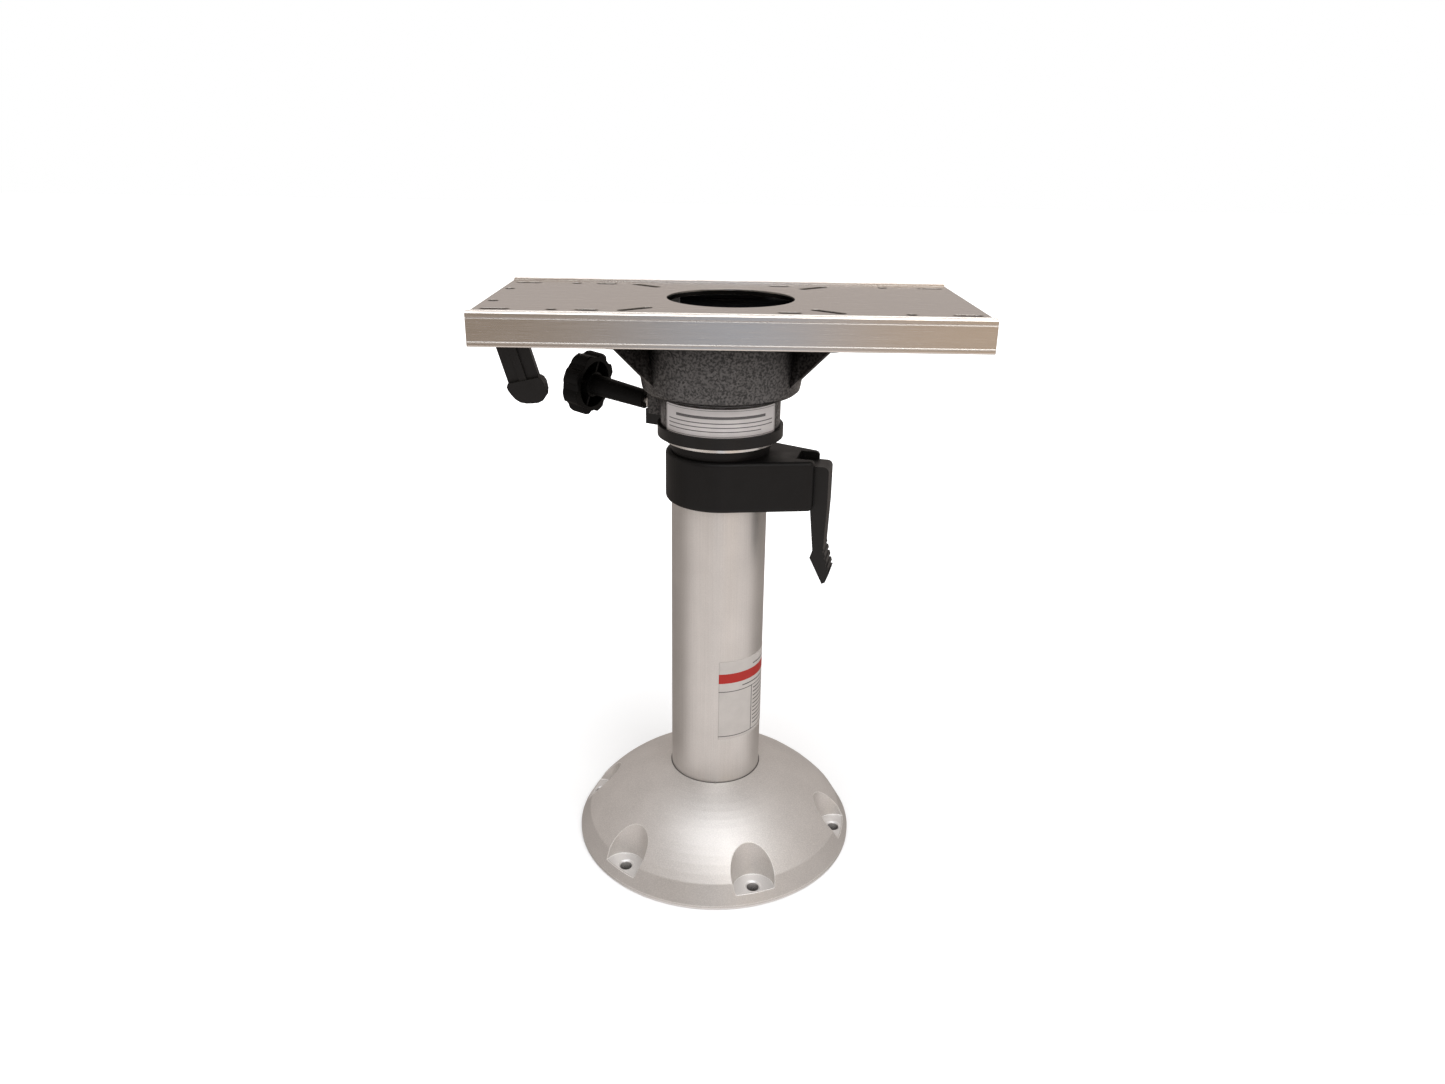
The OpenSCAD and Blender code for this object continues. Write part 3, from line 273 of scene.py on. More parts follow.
def graded(tree, value, low, high, colour, dark, light):
    """The colour times dark where value is at low or less, times light at high or more."""
    factor = remap(tree, value, low, high, 0.0, 1.0)
    return mix_colours(tree, factor, shade(colour, dark), shade(colour, light))


def feed(tree, shader, socket, value):
    """Links a value to one of the shader's sockets."""
    tree.links.new(value, shader.inputs[socket])


def rounded_normal(tree, radius):
    """The surface normal with sharp edges rounded over a radius."""
    return add_node(tree, "ShaderNodeBevel", {"Radius": radius}, samples=4).outputs["Normal"]


def edge_share(tree, normal, softest=0.97, sharpest=0.80):
    """One on a sharp edge and zero on a flat: how far the rounded normal leans off the true one."""
    true = add_node(tree, "ShaderNodeNewGeometry").outputs["Normal"]
    lean = add_node(tree, "ShaderNodeVectorMath", {0: normal, 1: true}, operation="DOT_PRODUCT")
    return remap(tree, lean.outputs["Value"], softest, sharpest, 0.0, 1.0)


def shade_in_hollows(tree, reach, low=0.25, high=0.8):
    """Share of painted shade: one deep inside a hollow and zero on an open face, looking as far as
    reach.
    """
    occlusion = add_node(tree, "ShaderNodeAmbientOcclusion", {"Distance": reach}, samples=8)
    return remap(tree, occlusion.outputs["AO"], low, high, 1.0, 0.0)


def set_bump(tree, shader, height, depth, strength=1.0, normal=None):
    """Raises the surface by height times depth in metres, over the given normal."""
    values = {"Height": height, "Distance": depth, "Strength": strength}
    if normal is not None:
        values["Normal"] = normal
    feed(tree, shader, "Normal", add_node(tree, "ShaderNodeBump", values).outputs["Normal"])


def paint(nodes, material):
    """Gives a material to CAD nodes through their objects' own slots."""
    for name in nodes:
        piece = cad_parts[name]
        if not piece.material_slots:
            piece.data.materials.append(None)
        for slot in piece.material_slots:
            slot.link = "OBJECT"
            slot.material = material


def height_and_radius(tree):
    """The height of a point and its distance from the axis of the post, in metres."""
    point = add_node(tree, "ShaderNodeSeparateXYZ", {0: place_of(tree)})
    level = {0: point.outputs["X"], 1: point.outputs["Y"]}
    flat = add_node(tree, "ShaderNodeCombineXYZ", level).outputs["Vector"]
    around = add_node(tree, "ShaderNodeVectorMath", {0: flat}, operation="LENGTH").outputs["Value"]
    return point.outputs["Z"], around


def cast_coat(colour, speck):
    """Silver coat on a casting: fine bright specks on a slightly cloudy ground.

    Edges are lightened as a painted highlight, the skirt is a little darker as painted shade, the
    pocket floors are paler as a painted highlight, and hollows and the seam round the post are dark
    with painted shade. A point counts as outer where its radius, with the skirt's lean put back, is
    past the rim.
    """
    material, tree, shader = start_material("cast_coat", Metallic=0.72)
    place = place_of(tree)
    fine = noise_of(tree, place, speck, detail=3.0, roughness=0.7)
    cloud = noise_of(tree, place, 26 * MM, detail=3.0)
    ground = graded(tree, cloud, 0.3, 0.7, colour, dark=0.95, light=1.05)
    specks = remap(tree, fine, 0.42, 0.66, 0.0, 0.75)
    coat = mix_colours(tree, specks, ground, shade(colour, 1.28))

    high, around = height_and_radius(tree)
    # Painted shade: the skirt, below the crease and outside the rim, is a tenth darker.
    lean = arithmetic(tree, "ADD", around, arithmetic(tree, "MULTIPLY", high, SKIRT_LEAN))
    outer = arithmetic(tree, "GREATER_THAN", lean, BASE_RADIUS + 0.8 * MM)
    low = remap(tree, high, SKIRT_TOP - 1.0 * MM, SKIRT_TOP + 0.5 * MM, 0.10, 0.0)
    skirt = arithmetic(tree, "MULTIPLY", low, outer)
    coat = mix_colours(tree, skirt, coat, BLACK)
    # Painted highlight: the upward-facing pocket floors are paler.
    floor = remap(tree, high, POCKET_FLOOR + 0.2 * MM, POCKET_FLOOR + 0.6 * MM, 0.45, 0.0)
    floor = arithmetic(tree, "MULTIPLY", floor, arithmetic(tree, "SUBTRACT", 1.0, outer))
    coat = mix_colours(tree, floor, coat, POCKET_HIGHLIGHT)

    normal = rounded_normal(tree, 1.2 * MM)
    # Painted highlight: sharp edges are lightened towards a near-white tone.
    bright = mix_colours(tree, edge_share(tree, normal, softest=0.992, sharpest=0.93), coat, EDGE_HIGHLIGHT)
    # Painted shade in the hollows and in the seam round the post's foot.
    crown = arithmetic(tree, "GREATER_THAN", high, SEAM_ABOVE)
    ring = remap(tree, around, POST_RADIUS + 0.5 * MM, POST_RADIUS + 1.1 * MM, 0.9, 0.0)
    seam = arithmetic(tree, "MULTIPLY", crown, ring)
    shade_share = arithmetic(tree, "MAXIMUM", shade_in_hollows(tree, 14 * MM, low=0.12, high=0.5), seam)
    feed(tree, shader, "Base Color", mix_colours(tree, shade_share, bright, shade(colour, 0.08)))
    feed(tree, shader, "Roughness", remap(tree, fine, 0.3, 0.7, 0.45, 0.55))
    set_bump(tree, shader, fine, depth=0.05 * MM, strength=0.6, normal=normal)
    return material


def drawn_tube(name, colour, roughness):
    """Satin anodised tube: faint lines drawn along its length over a fine grain."""
    material, tree, shader = start_material(name, Metallic=0.8)
    lines = noise_of(tree, place_of(tree, (1.0, 1.0, 0.006)), 0.5 * MM, detail=2.0)
    grain = noise_of(tree, place_of(tree), 0.6 * MM, detail=3.0, roughness=0.65)
    cloud = noise_of(tree, place_of(tree), 40 * MM, detail=2.0)
    both = blend(tree, (lines, 0.35), (grain, 0.65))
    tone = blend(tree, (both, 0.7), (cloud, 0.3))
    feed(tree, shader, "Base Color", graded(tree, tone, 0.38, 0.62, colour, dark=0.90, light=1.10))
    feed(tree, shader, "Roughness", remap(tree, both, 0.3, 0.7, roughness - 0.04, roughness + 0.05))
    set_bump(tree, shader, both, depth=0.02 * MM, strength=0.6, normal=rounded_normal(tree, 0.4 * MM))
    return material


def brushed_plate(colour):
    """Extrusion brushed along its length: long fine scratches, painted highlights on the beads and
    painted shade in the hollows.

    The cut faces of the web get painted shade too, between the rows of slots.
    """
    material, tree, shader = start_material("brushed_plate", Metallic=0.9)
    along = place_of(tree, (0.012, 1.0, 1.0))
    scratch = noise_of(tree, along, 0.35 * MM, detail=3.0, roughness=0.6)
    band = noise_of(tree, along, 4 * MM, detail=2.0)
    grain = noise_of(tree, place_of(tree), 0.5 * MM, detail=2.0, roughness=0.6)
    tone = blend(tree, (scratch, 0.5), (band, 0.25), (grain, 0.25))
    body = graded(tree, tone, 0.35, 0.65, colour, dark=0.93, light=1.07)

    point = add_node(tree, "ShaderNodeSeparateXYZ", {0: place_of(tree)})
    across, high = point.outputs["Y"], point.outputs["Z"]
    # Painted highlights: a thin bright line on the top bead and on the foot.
    bead = remap(tree, high, PLATE_TOP - 1.3 * MM, PLATE_TOP - 1.0 * MM, 0.0, 0.9)
    foot = remap(tree, high, PLATE_FOOT + 1.4 * MM, PLATE_FOOT + 1.0 * MM, 0.0, 0.4)
    bead_highlight = arithmetic(tree, "MAXIMUM", bead, foot)
    bright = mix_colours(tree, bead_highlight, body, shade(colour, 1.5))

    # Painted shade in the hollows under the top and on the cut faces of the web.
    below = remap(tree, high, PLATE_TOP - 3.4 * MM, PLATE_TOP - 4.2 * MM, 0.0, 1.0)
    hollow = arithmetic(tree, "MULTIPLY", shade_in_hollows(tree, 60 * MM, low=0.35, high=0.8), below)
    web = inside(tree, high, PLATE_TOP - 5.4 * MM, PLATE_TOP - 2.7 * MM)
    web_wall_shade = arithmetic(tree, "MULTIPLY", web, inside(tree, across, -PLATE_MIDDLE, PLATE_MIDDLE))
    shade_share = arithmetic(tree, "MAXIMUM", hollow, web_wall_shade)
    feed(tree, shader, "Base Color", mix_colours(tree, shade_share, bright, shade(colour, 0.04)))
    feed(tree, shader, "Roughness", remap(tree, scratch, 0.3, 0.7, 0.20, 0.28))
    set_bump(tree, shader, scratch, depth=0.01 * MM, strength=0.5, normal=rounded_normal(tree, 0.5 * MM))
    return material


def turned_metal(colour):
    """Bright turned metal: fine rings left by the tool at one height after another."""
    material, tree, shader = start_material("turned_metal", Metallic=1.0)
    rings = noise_of(tree, place_of(tree, (0.02, 0.02, 1.0)), 0.25 * MM, detail=2.0)
    feed(tree, shader, "Base Color", graded(tree, rings, 0.3, 0.7, colour, dark=0.88, light=1.1))
    feed(tree, shader, "Roughness", remap(tree, rings, 0.3, 0.7, 0.2, 0.3))
    set_bump(tree, shader, rings, depth=0.01 * MM, strength=0.5, normal=rounded_normal(tree, 0.3 * MM))
    return material


def bowl_shade_share(tree):
    """Share of painted shade: zero on the bowl's outer face, one on its inner face, and a growing share
    out along the gussets.

    The bowl's radius grows evenly with height, so that growth is taken off before radii are compared.
    All below the bowl's foot is zero.
    """
    high, around = height_and_radius(tree)
    taper = (BOWL_TOP_RADIUS - BOWL_FOOT_RADIUS) / (BOWL_TOP - BOWL_FOOT)
    growth = arithmetic(tree, "MULTIPLY", arithmetic(tree, "SUBTRACT", high, BOWL_FOOT), taper)
    out = arithmetic(tree, "SUBTRACT", around, growth)
    inner = arithmetic(tree, "LESS_THAN", out, BOWL_FOOT_RADIUS - 2 * MM)
    gusset = remap(tree, out, BOWL_FOOT_RADIUS + 1.5 * MM, BOWL_FOOT_RADIUS + 6 * MM, 0.0, 0.75)
    above = arithmetic(tree, "GREATER_THAN", high, BOWL_FOOT + 1 * MM)
    return arithmetic(tree, "MULTIPLY", arithmetic(tree, "MAXIMUM", inner, gusset), above)


def hammered_enamel(colour, cell):
    """Hammered enamel: dark dimples between paler bumps, evened out in soft patches, under a thin gloss.

    Hollows, the inside of the bowl and the gussets get painted shade, which takes away their gloss as
    well as their colour.
    """
    material, tree, shader = start_material("hammered_enamel", Coat_Roughness=0.25)
    place = place_of(tree)
    drift = noise_of(tree, place, 3 * cell, detail=2.0)
    dimples = noise_of(tree, place, cell, detail=2.0, roughness=0.55)
    fine = noise_of(tree, place, 0.35 * cell, detail=2.0, roughness=0.6)
    height = blend(tree, (dimples, 1.0), (fine, 0.35))
    toned = graded(tree, height, 0.58, 0.76, colour, dark=0.1, light=2.7)
    patch = remap(tree, drift, 0.35, 0.65, 0.0, 0.35)
    wide = mix_colours(tree, patch, toned, shade(colour, 1.25))
    # Painted shade in the hollows, inside the bowl and on the gussets, which also takes away their
    # gloss.
    shade_share = arithmetic(tree, "MAXIMUM", shade_in_hollows(tree, 45 * MM, low=0.4, high=0.92), bowl_shade_share(tree))
    feed(tree, shader, "Base Color", mix_colours(tree, shade_share, wide, shade(colour, 0.12)))
    feed(tree, shader, "Metallic", remap(tree, shade_share, 0.0, 0.8, 0.25, 1.0))
    feed(tree, shader, "Coat Weight", remap(tree, shade_share, 0.0, 0.6, 0.25, 0.0))
    feed(tree, shader, "Roughness", remap(tree, height, 0.5, 0.85, 0.52, 0.30))
    set_bump(tree, shader, height, depth=0.35 * MM, strength=0.8, normal=rounded_normal(tree, 1.2 * MM))
    return material


def moulded_plastic(name, colour, roughness, gloss, radius):
    """Satin moulded plastic: fine grain, cloudy changes of tone and sheen, and soft edges lightened as a
    painted highlight.

    Gloss is the specular level, and edges are softened over the radius.
    """
    material, tree, shader = start_material(name, Specular_IOR_Level=gloss)
    place = place_of(tree)
    grain = noise_of(tree, place, 0.25 * MM, detail=2.0, roughness=0.6)
    cloud = noise_of(tree, place, 14 * MM, detail=3.0)
    normal = rounded_normal(tree, radius)
    # Painted highlight: sharp edges are lightened to three times the colour.
    edges = arithmetic(tree, "MULTIPLY", edge_share(tree, normal), 0.35)
    body = graded(tree, cloud, 0.3, 0.7, colour, dark=0.8, light=1.25)
    feed(tree, shader, "Base Color", mix_colours(tree, edges, body, shade(colour, 3.0)))
    feed(tree, shader, "Roughness", remap(tree, cloud, 0.3, 0.7, roughness - 0.05, roughness + 0.06))
    set_bump(tree, shader, grain, depth=0.02 * MM, strength=0.5, normal=normal)
    return material


def steel(name, colour, roughness):
    """Plated or plain steel: small cloudy patches of tone and sheen with fine scratches."""
    material, tree, shader = start_material(name, Metallic=1.0)
    place = place_of(tree)
    patch = noise_of(tree, place, 3 * MM, detail=4.0, roughness=0.6)
    scratch = noise_of(tree, place_of(tree, (1.0, 0.05, 1.0)), 0.3 * MM, detail=2.0)
    feed(tree, shader, "Base Color", graded(tree, patch, 0.3, 0.7, colour, dark=0.82, light=1.15))
    feed(tree, shader, "Roughness", remap(tree, patch, 0.3, 0.7, roughness - 0.06, roughness + 0.08))
    set_bump(tree, shader, scratch, depth=0.01 * MM, strength=0.5, normal=rounded_normal(tree, 0.3 * MM))
    return material


def label_sheet(name, radius, low, high, start, end, corner, film):
    """A label bent round a tube, with its half width and half height in millimetres.

    A point at turn a and height z lies at (r cos a, r sin a, z). Rows run up the sheet, and the half
    width of a row is the sheet's half width, drawn in along a quarter circle within one corner radius
    of the foot or the top. Solidify gives the film its thickness outwards.
    """
    across, corner_rows, body_rows = 64, 8, 24
    half_height = (high - low) / 2
    half_width = (end - start) * radius / 2
    bend = np.linspace(0.0, math.pi / 2, corner_rows)
    foot = -half_height + corner * (1 - np.cos(bend))
    body = np.linspace(foot[-1], -foot[-1], body_rows)[1:-1]
    rows = np.concatenate([foot, body, -foot[::-1]])
    past = np.maximum(np.abs(rows) - (half_height - corner), 0.0)
    widths = half_width - corner + np.sqrt(np.maximum(corner**2 - past**2, 0.0))
    step = np.linspace(-1.0, 1.0, across)
    arc = widths[:, None] * step[None, :]
    turn = (start + end) / 2 + arc / radius
    height = np.broadcast_to(rows[:, None], arc.shape) + (low + high) / 2
    points = np.stack([radius * np.cos(turn), radius * np.sin(turn), height], -1).reshape(-1, 3)
    index = np.arange(points.shape[0]).reshape(arc.shape)
    corners = [index[:-1, :-1], index[:-1, 1:], index[1:, 1:], index[1:, :-1]]
    faces = np.stack(corners, -1).reshape(-1, 4)
    mesh = bpy.data.meshes.new(name)
    mesh.from_pydata(points.tolist(), [], faces.tolist())
    layer = mesh.uv_layers.new(name="sheet")
    flat = np.stack([arc / MM, np.broadcast_to(rows[:, None], arc.shape) / MM], -1).reshape(-1, 2)
    layer.data.foreach_set("uv", flat[faces.ravel()].astype(np.float32).ravel())
    mesh.polygons.foreach_set("use_smooth", np.ones(len(mesh.polygons), bool))
    piece = bpy.data.objects.new(name, mesh)
    bpy.context.scene.collection.objects.link(piece)
    solid = piece.modifiers.new("film", "SOLIDIFY")
    solid.thickness = film
    solid.offset = 1.0
    return piece, half_width / MM, half_height / MM


def inside(tree, value, low, high):
    """One where the value lies between low and high, and zero elsewhere."""
    above = arithmetic(tree, "GREATER_THAN", value, low)
    below = arithmetic(tree, "LESS_THAN", value, high)
    return arithmetic(tree, "MULTIPLY", above, below)


def box_mask(tree, across, up, box):
    """One inside a box on the sheet, given as left, right, foot and top in millimetres."""
    left, right, foot, top = box
    return arithmetic(tree, "MULTIPLY", inside(tree, across, left, right), inside(tree, up, foot, top))


def frame_mask(tree, across, up, box, line):
    """One on a line just inside the edge of a box."""
    left, right, foot, top = box
    inner = box_mask(tree, across, up, (left + line, right - line, foot + line, top - line))
    return arithmetic(tree, "SUBTRACT", box_mask(tree, across, up, box), inner)


def printed_sheet(name, colours, field, bands, lines, frames):
    """Matt film with printed boxes: bands in the band colour, lines and frames in the ink colour.

    A frame is a box and the width of the line inside its edge.
    """
    material, tree, shader = start_material(name, Specular_IOR_Level=0.3)
    spot = add_node(tree, "ShaderNodeUVMap", uv_map="sheet").outputs["UV"]
    sheet = add_node(tree, "ShaderNodeSeparateXYZ", {0: spot})
    across, up = sheet.outputs["X"], sheet.outputs["Y"]
    grain = noise_of(tree, place_of(tree), 0.3 * MM, detail=2.0)
    cloud = noise_of(tree, place_of(tree), 9 * MM, detail=2.0)
    tone = blend(tree, (grain, 0.5), (cloud, 0.5))
    colour = graded(tree, tone, 0.35, 0.65, field, dark=0.94, light=1.06)
    for box in bands:
        colour = mix_colours(tree, box_mask(tree, across, up, box), colour, tuple(colours.label_band))
    inked = [box_mask(tree, across, up, box) for box in lines]
    inked += [frame_mask(tree, across, up, box, line) for box, line in frames]
    for mask in inked:
        cover = arithmetic(tree, "MULTIPLY", mask, INK_COVER)
        colour = mix_colours(tree, cover, colour, tuple(colours.label_ink))
    feed(tree, shader, "Base Color", colour)
    feed(tree, shader, "Roughness", remap(tree, tone, 0.3, 0.7, 0.42, 0.52))
    set_bump(tree, shader, grain, depth=0.01 * MM, strength=0.4)
    return material


def post_label(colours, sizes):
    """The label on the post: a coloured band, a bar over and under it, and two fields between lines.

    The left field is empty and the right one has rows of thin bars. Boxes are given as left, right,
    foot and top in millimetres from the middle of the sheet, and divide is where the two fields meet.
    """
    piece, wide, high = label_sheet(
        "post_label",
        POST_RADIUS,
        sizes.post_label_low,
        sizes.post_label_high,
        sizes.post_label_from,
        sizes.post_label_to,
        sizes.label_corner,
        sizes.label_film,
    )
    divide = 30.0 - wide
    band = (-wide, wide, high - 19.2, high - 10.9)
    upper_line = (-wide, wide, high - 27.1, high - 26.4)
    lower_line = (-wide, wide, 2.4 - high, 3.1 - high)
    upright_line = (divide - 0.4, divide + 0.4, 2.8 - high, high - 26.7)
    bar_under_band = (divide - 10.0, wide - 4.0, high - 23.6, high - 22.6)
    bar_over_band = (divide + 1.0, wide - 6.0, high - 7.8, high - 6.8)
    lines = [upper_line, lower_line, upright_line, bar_under_band, bar_over_band]
    for row in range(POST_BARS):
        down = POST_BAR_PITCH * row
        lines.append((divide + 2.0, wide - 3.0, high - 30.5 - down, high - 29.5 - down))
    field = tuple(colours.post_field)
    piece.data.materials.append(printed_sheet("post_print", colours, field, [band], lines, []))
    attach(piece, "post")


def neck_label(colours, sizes):
    """The label on the neck of the head: a heavy bar over thin ones, the last one short, all framed."""
    piece, wide, high = label_sheet(
        "neck_label",
        NECK_RADIUS,
        sizes.neck_label_low,
        sizes.neck_label_high,
        sizes.neck_label_from,
        sizes.neck_label_to,
        sizes.label_corner,
        sizes.label_film,
    )
    lines = [(-wide + 12, wide - 12, high - 7.2, high - 5.2)]
    for row in range(NECK_BARS):
        down = NECK_BAR_PITCH * row
        short = 12 if row == NECK_BARS - 1 else 0
        lines.append((-wide + 4, wide - 4 - short, high - 10.6 - down, high - 9.9 - down))
    border = (-wide + 1.0, wide - 1.0, -high + 1.0, high - 1.0)
    field = tuple(colours.neck_field)
    piece.data.materials.append(printed_sheet("neck_print", colours, field, [], lines, [(border, 0.3)]))
    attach(piece, "head")


class PEDESTAL_OT_castings(bpy.types.Operator):
    """Coats the cast base and the swivel head"""

    bl_idname = "pedestal.castings"
    bl_label = "Base and swivel head"

    def execute(self, context):
        colours, sizes = context.scene.pedestal_colours, context.scene.pedestal_sizes
        paint(CAST_NODES, cast_coat(tuple(colours.cast), sizes.speck))
        paint(HAMMERED_NODES, hammered_enamel(tuple(colours.hammered), sizes.hammer_cell))
        return {"FINISHED"}


class PEDESTAL_OT_tubes(bpy.types.Operator):
    """Finishes the post, the riser and the turned spindle"""

    bl_idname = "pedestal.tubes"
    bl_label = "Post and spindle"

    def execute(self, context):
        colours = context.scene.pedestal_colours
        paint(TUBE_NODES, drawn_tube("satin_tube", tuple(colours.tube), roughness=0.40))
        paint(TURNED_NODES, turned_metal(tuple(colours.turned)))
        return {"FINISHED"}


class PEDESTAL_OT_slide(bpy.types.Operator):
    """Finishes the seat plate, the tray below it and their runners"""

    bl_idname = "pedestal.slide"
    bl_label = "Seat slide"

    def execute(self, context):
        colours = context.scene.pedestal_colours
        glide = tuple(colours.glide)
        paint(PLATE_NODES, brushed_plate(tuple(colours.plate)))
        paint(
            GLIDE_NODES,
            moulded_plastic("glide_plastic", glide, roughness=0.5, gloss=0.3, radius=0.3 * MM),
        )
        return {"FINISHED"}


class PEDESTAL_OT_mouldings(bpy.types.Operator):
    """Finishes the clamp, its shoe and lever, the collar, the knob, the grip and the plastic sleeve"""

    bl_idname = "pedestal.mouldings"
    bl_label = "Plastic mouldings"

    def execute(self, context):
        colours = context.scene.pedestal_colours
        black = tuple(colours.moulding)
        # Nodes, then the name, colour, roughness, gloss and edge radius of their plastic.
        finishes = (
            (CLAMP_NODES, "clamp_plastic", black, 0.48, 0.22, 0.8 * MM),
            (LEVER_NODES, "lever_plastic", black, 0.44, 0.32, 0.8 * MM),
            (GRIP_NODES, "grip_plastic", shade(black, 1.5), 0.42, 0.28, 0.6 * MM),
            (KNOB_NODES, "knob_plastic", shade(black, 0.5), 0.5, 0.12, 0.8 * MM),
            (NATURAL_NODES, "natural_plastic", tuple(colours.natural), 0.45, 0.4, 0.3 * MM),
            (SHOE_NODES, "shoe_plastic", tuple(colours.shoe), 0.55, 0.4, 0.3 * MM),
        )
        for nodes, *finish in finishes:
            paint(nodes, moulded_plastic(*finish))
        return {"FINISHED"}


class PEDESTAL_OT_hardware(bpy.types.Operator):
    """Finishes the pins, bolts, springs and pressed steel parts"""

    bl_idname = "pedestal.hardware"
    bl_label = "Steel hardware"

    def execute(self, context):
        colours = context.scene.pedestal_colours
        paint(PLATED_NODES, steel("plated_steel", tuple(colours.plated), roughness=0.32))
        paint(PRESSED_NODES, steel("pressed_steel", tuple(colours.pressed), roughness=0.42))
        paint(WIRE_NODES, steel("spring_wire", tuple(colours.pressed), roughness=0.30))
        return {"FINISHED"}


class PEDESTAL_OT_labels(bpy.types.Operator):
    """Makes the plain printed labels on the post and on the neck of the head"""

    bl_idname = "pedestal.labels"
    bl_label = "Labels"

    def execute(self, context):
        colours, sizes = context.scene.pedestal_colours, context.scene.pedestal_sizes
        post_label(colours, sizes)
        neck_label(colours, sizes)
        return {"FINISHED"}


def sheet_of_grid(name, points, closed=False):
    """Quads over a grid of points.

    A closed grid joins its last column to its first, and has its first and last rows capped.
    """
    rows, columns = points.shape[:2]
    index = np.arange(rows * columns).reshape(rows, columns)
    left = index if closed else index[:, :-1]
    right = np.roll(index, -1, axis=1) if closed else index[:, 1:]
    faces = np.stack([left[:-1], right[:-1], right[1:], left[1:]], -1).reshape(-1, 4).tolist()
    if closed:
        faces += [index[0, ::-1].tolist(), index[-1].tolist()]
    mesh = bpy.data.meshes.new(name)
    mesh.from_pydata(points.reshape(-1, 3).tolist(), [], faces)
    made = bpy.data.objects.new(name, mesh)
    bpy.context.scene.collection.objects.link(made)
    return made


def seen_by(tree, *kinds):
    """One where a ray is of one of the named kinds."""
    ray = add_node(tree, "ShaderNodeLightPath")
    share = ray.outputs[kinds[0]]
    for kind in kinds[1:]:
        share = arithmetic(tree, "MAXIMUM", share, ray.outputs[kind])
    return share


def studio_floor():
    """A wide flat floor just under the base: a grid of points at one height.

    It glows to white away from the base, for the camera only.
    """
    reach = np.linspace(-FLOOR_REACH, FLOOR_REACH, 7)
    across, along = np.meshgrid(reach, reach)
    level = np.full_like(across, -0.2 * MM)
    floor = sheet_of_grid("studio_floor", np.stack([across, along, level], -1))
    material, tree, shader = start_material("pale_floor", Roughness=0.85, Specular_IOR_Level=0.1)
    cloud = noise_of(tree, place_of(tree), 0.4, detail=2.0)
    factor = remap(tree, cloud, 0.3, 0.7, 0.0, 1.0)
    feed(tree, shader, "Base Color", mix_colours(tree, factor, FLOOR_DARK, FLOOR_LIGHT))
    span = add_node(tree, "ShaderNodeVectorMath", {0: place_of(tree)}, operation="LENGTH")
    away = span.outputs["Value"]
    near = remap(tree, away, BASE_RADIUS - 8 * MM, BASE_RADIUS + 4 * MM, 0.0, 0.25)
    far = remap(tree, away, BASE_RADIUS, 1.2, 0.0, 0.75)
    seen = seen_by(tree, "Is Camera Ray")
    glow = arithmetic(tree, "MULTIPLY", seen, arithmetic(tree, "ADD", near, far))
    feed(tree, shader, "Emission Strength", glow)
    shader.inputs["Emission Color"].default_value = (1.0, 1.0, 1.0, 1.0)
    floor.data.materials.append(material)
    floor.visible_glossy = False


def studio_shell():
    """A glowing ball round the set that only the shiny finishes see.

    A point at turn a and height angle t lies at (cos t cos a, cos t sin a, sin t) times the radius,
    about the foot of the post. It shows a warm grey room with a pale panel in front, and a ground
    that brightens towards the front. The panel is cool in the middle, tan beside it, and dimmer on
    the left.
    """
    columns, rows, highest = 72, 29, 84.0
    turn = np.linspace(0.0, 2 * math.pi, columns + 1)[:-1]
    rise = np.radians(np.linspace(-highest, highest, rows))
    around, up = np.meshgrid(turn, rise)
    level = np.cos(up)
    points = SHELL_RADIUS * np.stack([level * np.cos(around), level * np.sin(around), np.sin(up)], -1)
    shell = sheet_of_grid("studio_shell", points, closed=True)
    material, tree, shader = start_material("shell_glow", Roughness=1.0, Specular_IOR_Level=0.0)
    shader.inputs["Base Color"].default_value = (0.0, 0.0, 0.0, 1.0)
    place = add_node(tree, "ShaderNodeSeparateXYZ", {0: place_of(tree)})
    across, along, high = place.outputs["X"], place.outputs["Y"], place.outputs["Z"]
    side = arithmetic(tree, "ABSOLUTE", arithmetic(tree, "SUBTRACT", across, 0.04))
    panel = mix_colours(tree, remap(tree, side, 0.2, 0.42, 0.0, 1.0), PANEL_COOL, PANEL_TAN)
    panel = mix_colours(tree, remap(tree, across, -0.5, 0.15, 0.5, 0.0), panel, BLACK)
    room = mix_colours(tree, remap(tree, along, -2.3, -1.9, 1.0, 0.0), ROOM_TONE, panel)
    ahead = arithmetic(tree, "SUBTRACT", arithmetic(tree, "MULTIPLY", across, 0.14), along)
    front = remap(tree, ahead, -0.5, 0.9, 0.0, 1.0)
    ground = mix_colours(tree, front, GROUND_BACK, GROUND_FRONT)
    low = remap(tree, high, -0.65, -0.25, 1.0, 0.0)
    feed(tree, shader, "Emission Color", mix_colours(tree, low, room, ground))
    shader.inputs["Emission Strength"].default_value = 1.0
    shell.data.materials.append(material)
    shell.visible_camera = False
    shell.visible_diffuse = False
    shell.visible_shadow = False


def studio_world():
    """Soft light from all round, and plain white for camera, glossy and transmission rays."""
    world = bpy.data.worlds.new("studio")
    bpy.context.scene.world = world
    world.use_nodes = True
    tree = world.node_tree
    tree.nodes.clear()
    seen = seen_by(tree, "Is Camera Ray", "Is Glossy Ray", "Is Transmission Ray")
    soft = add_node(tree, "ShaderNodeBackground", {"Color": (1.0, 0.96, 0.93, 1.0), "Strength": 0.6})
    white = add_node(tree, "ShaderNodeBackground", {"Color": (1.0, 1.0, 1.0, 1.0), "Strength": 1.0})
    mixed = add_node(tree, "ShaderNodeMixShader", {0: seen, 1: soft.outputs[0], 2: white.outputs[0]})
    add_node(tree, "ShaderNodeOutputWorld", {"Surface": mixed.outputs[0]})


def placed(right, up, back, place):
    """The matrix of an object whose axes point right, up and back, at a place."""
    rows = np.eye(4)
    rows[:3] = np.stack([right, up, back, place], -1)
    return Matrix(rows.tolist())


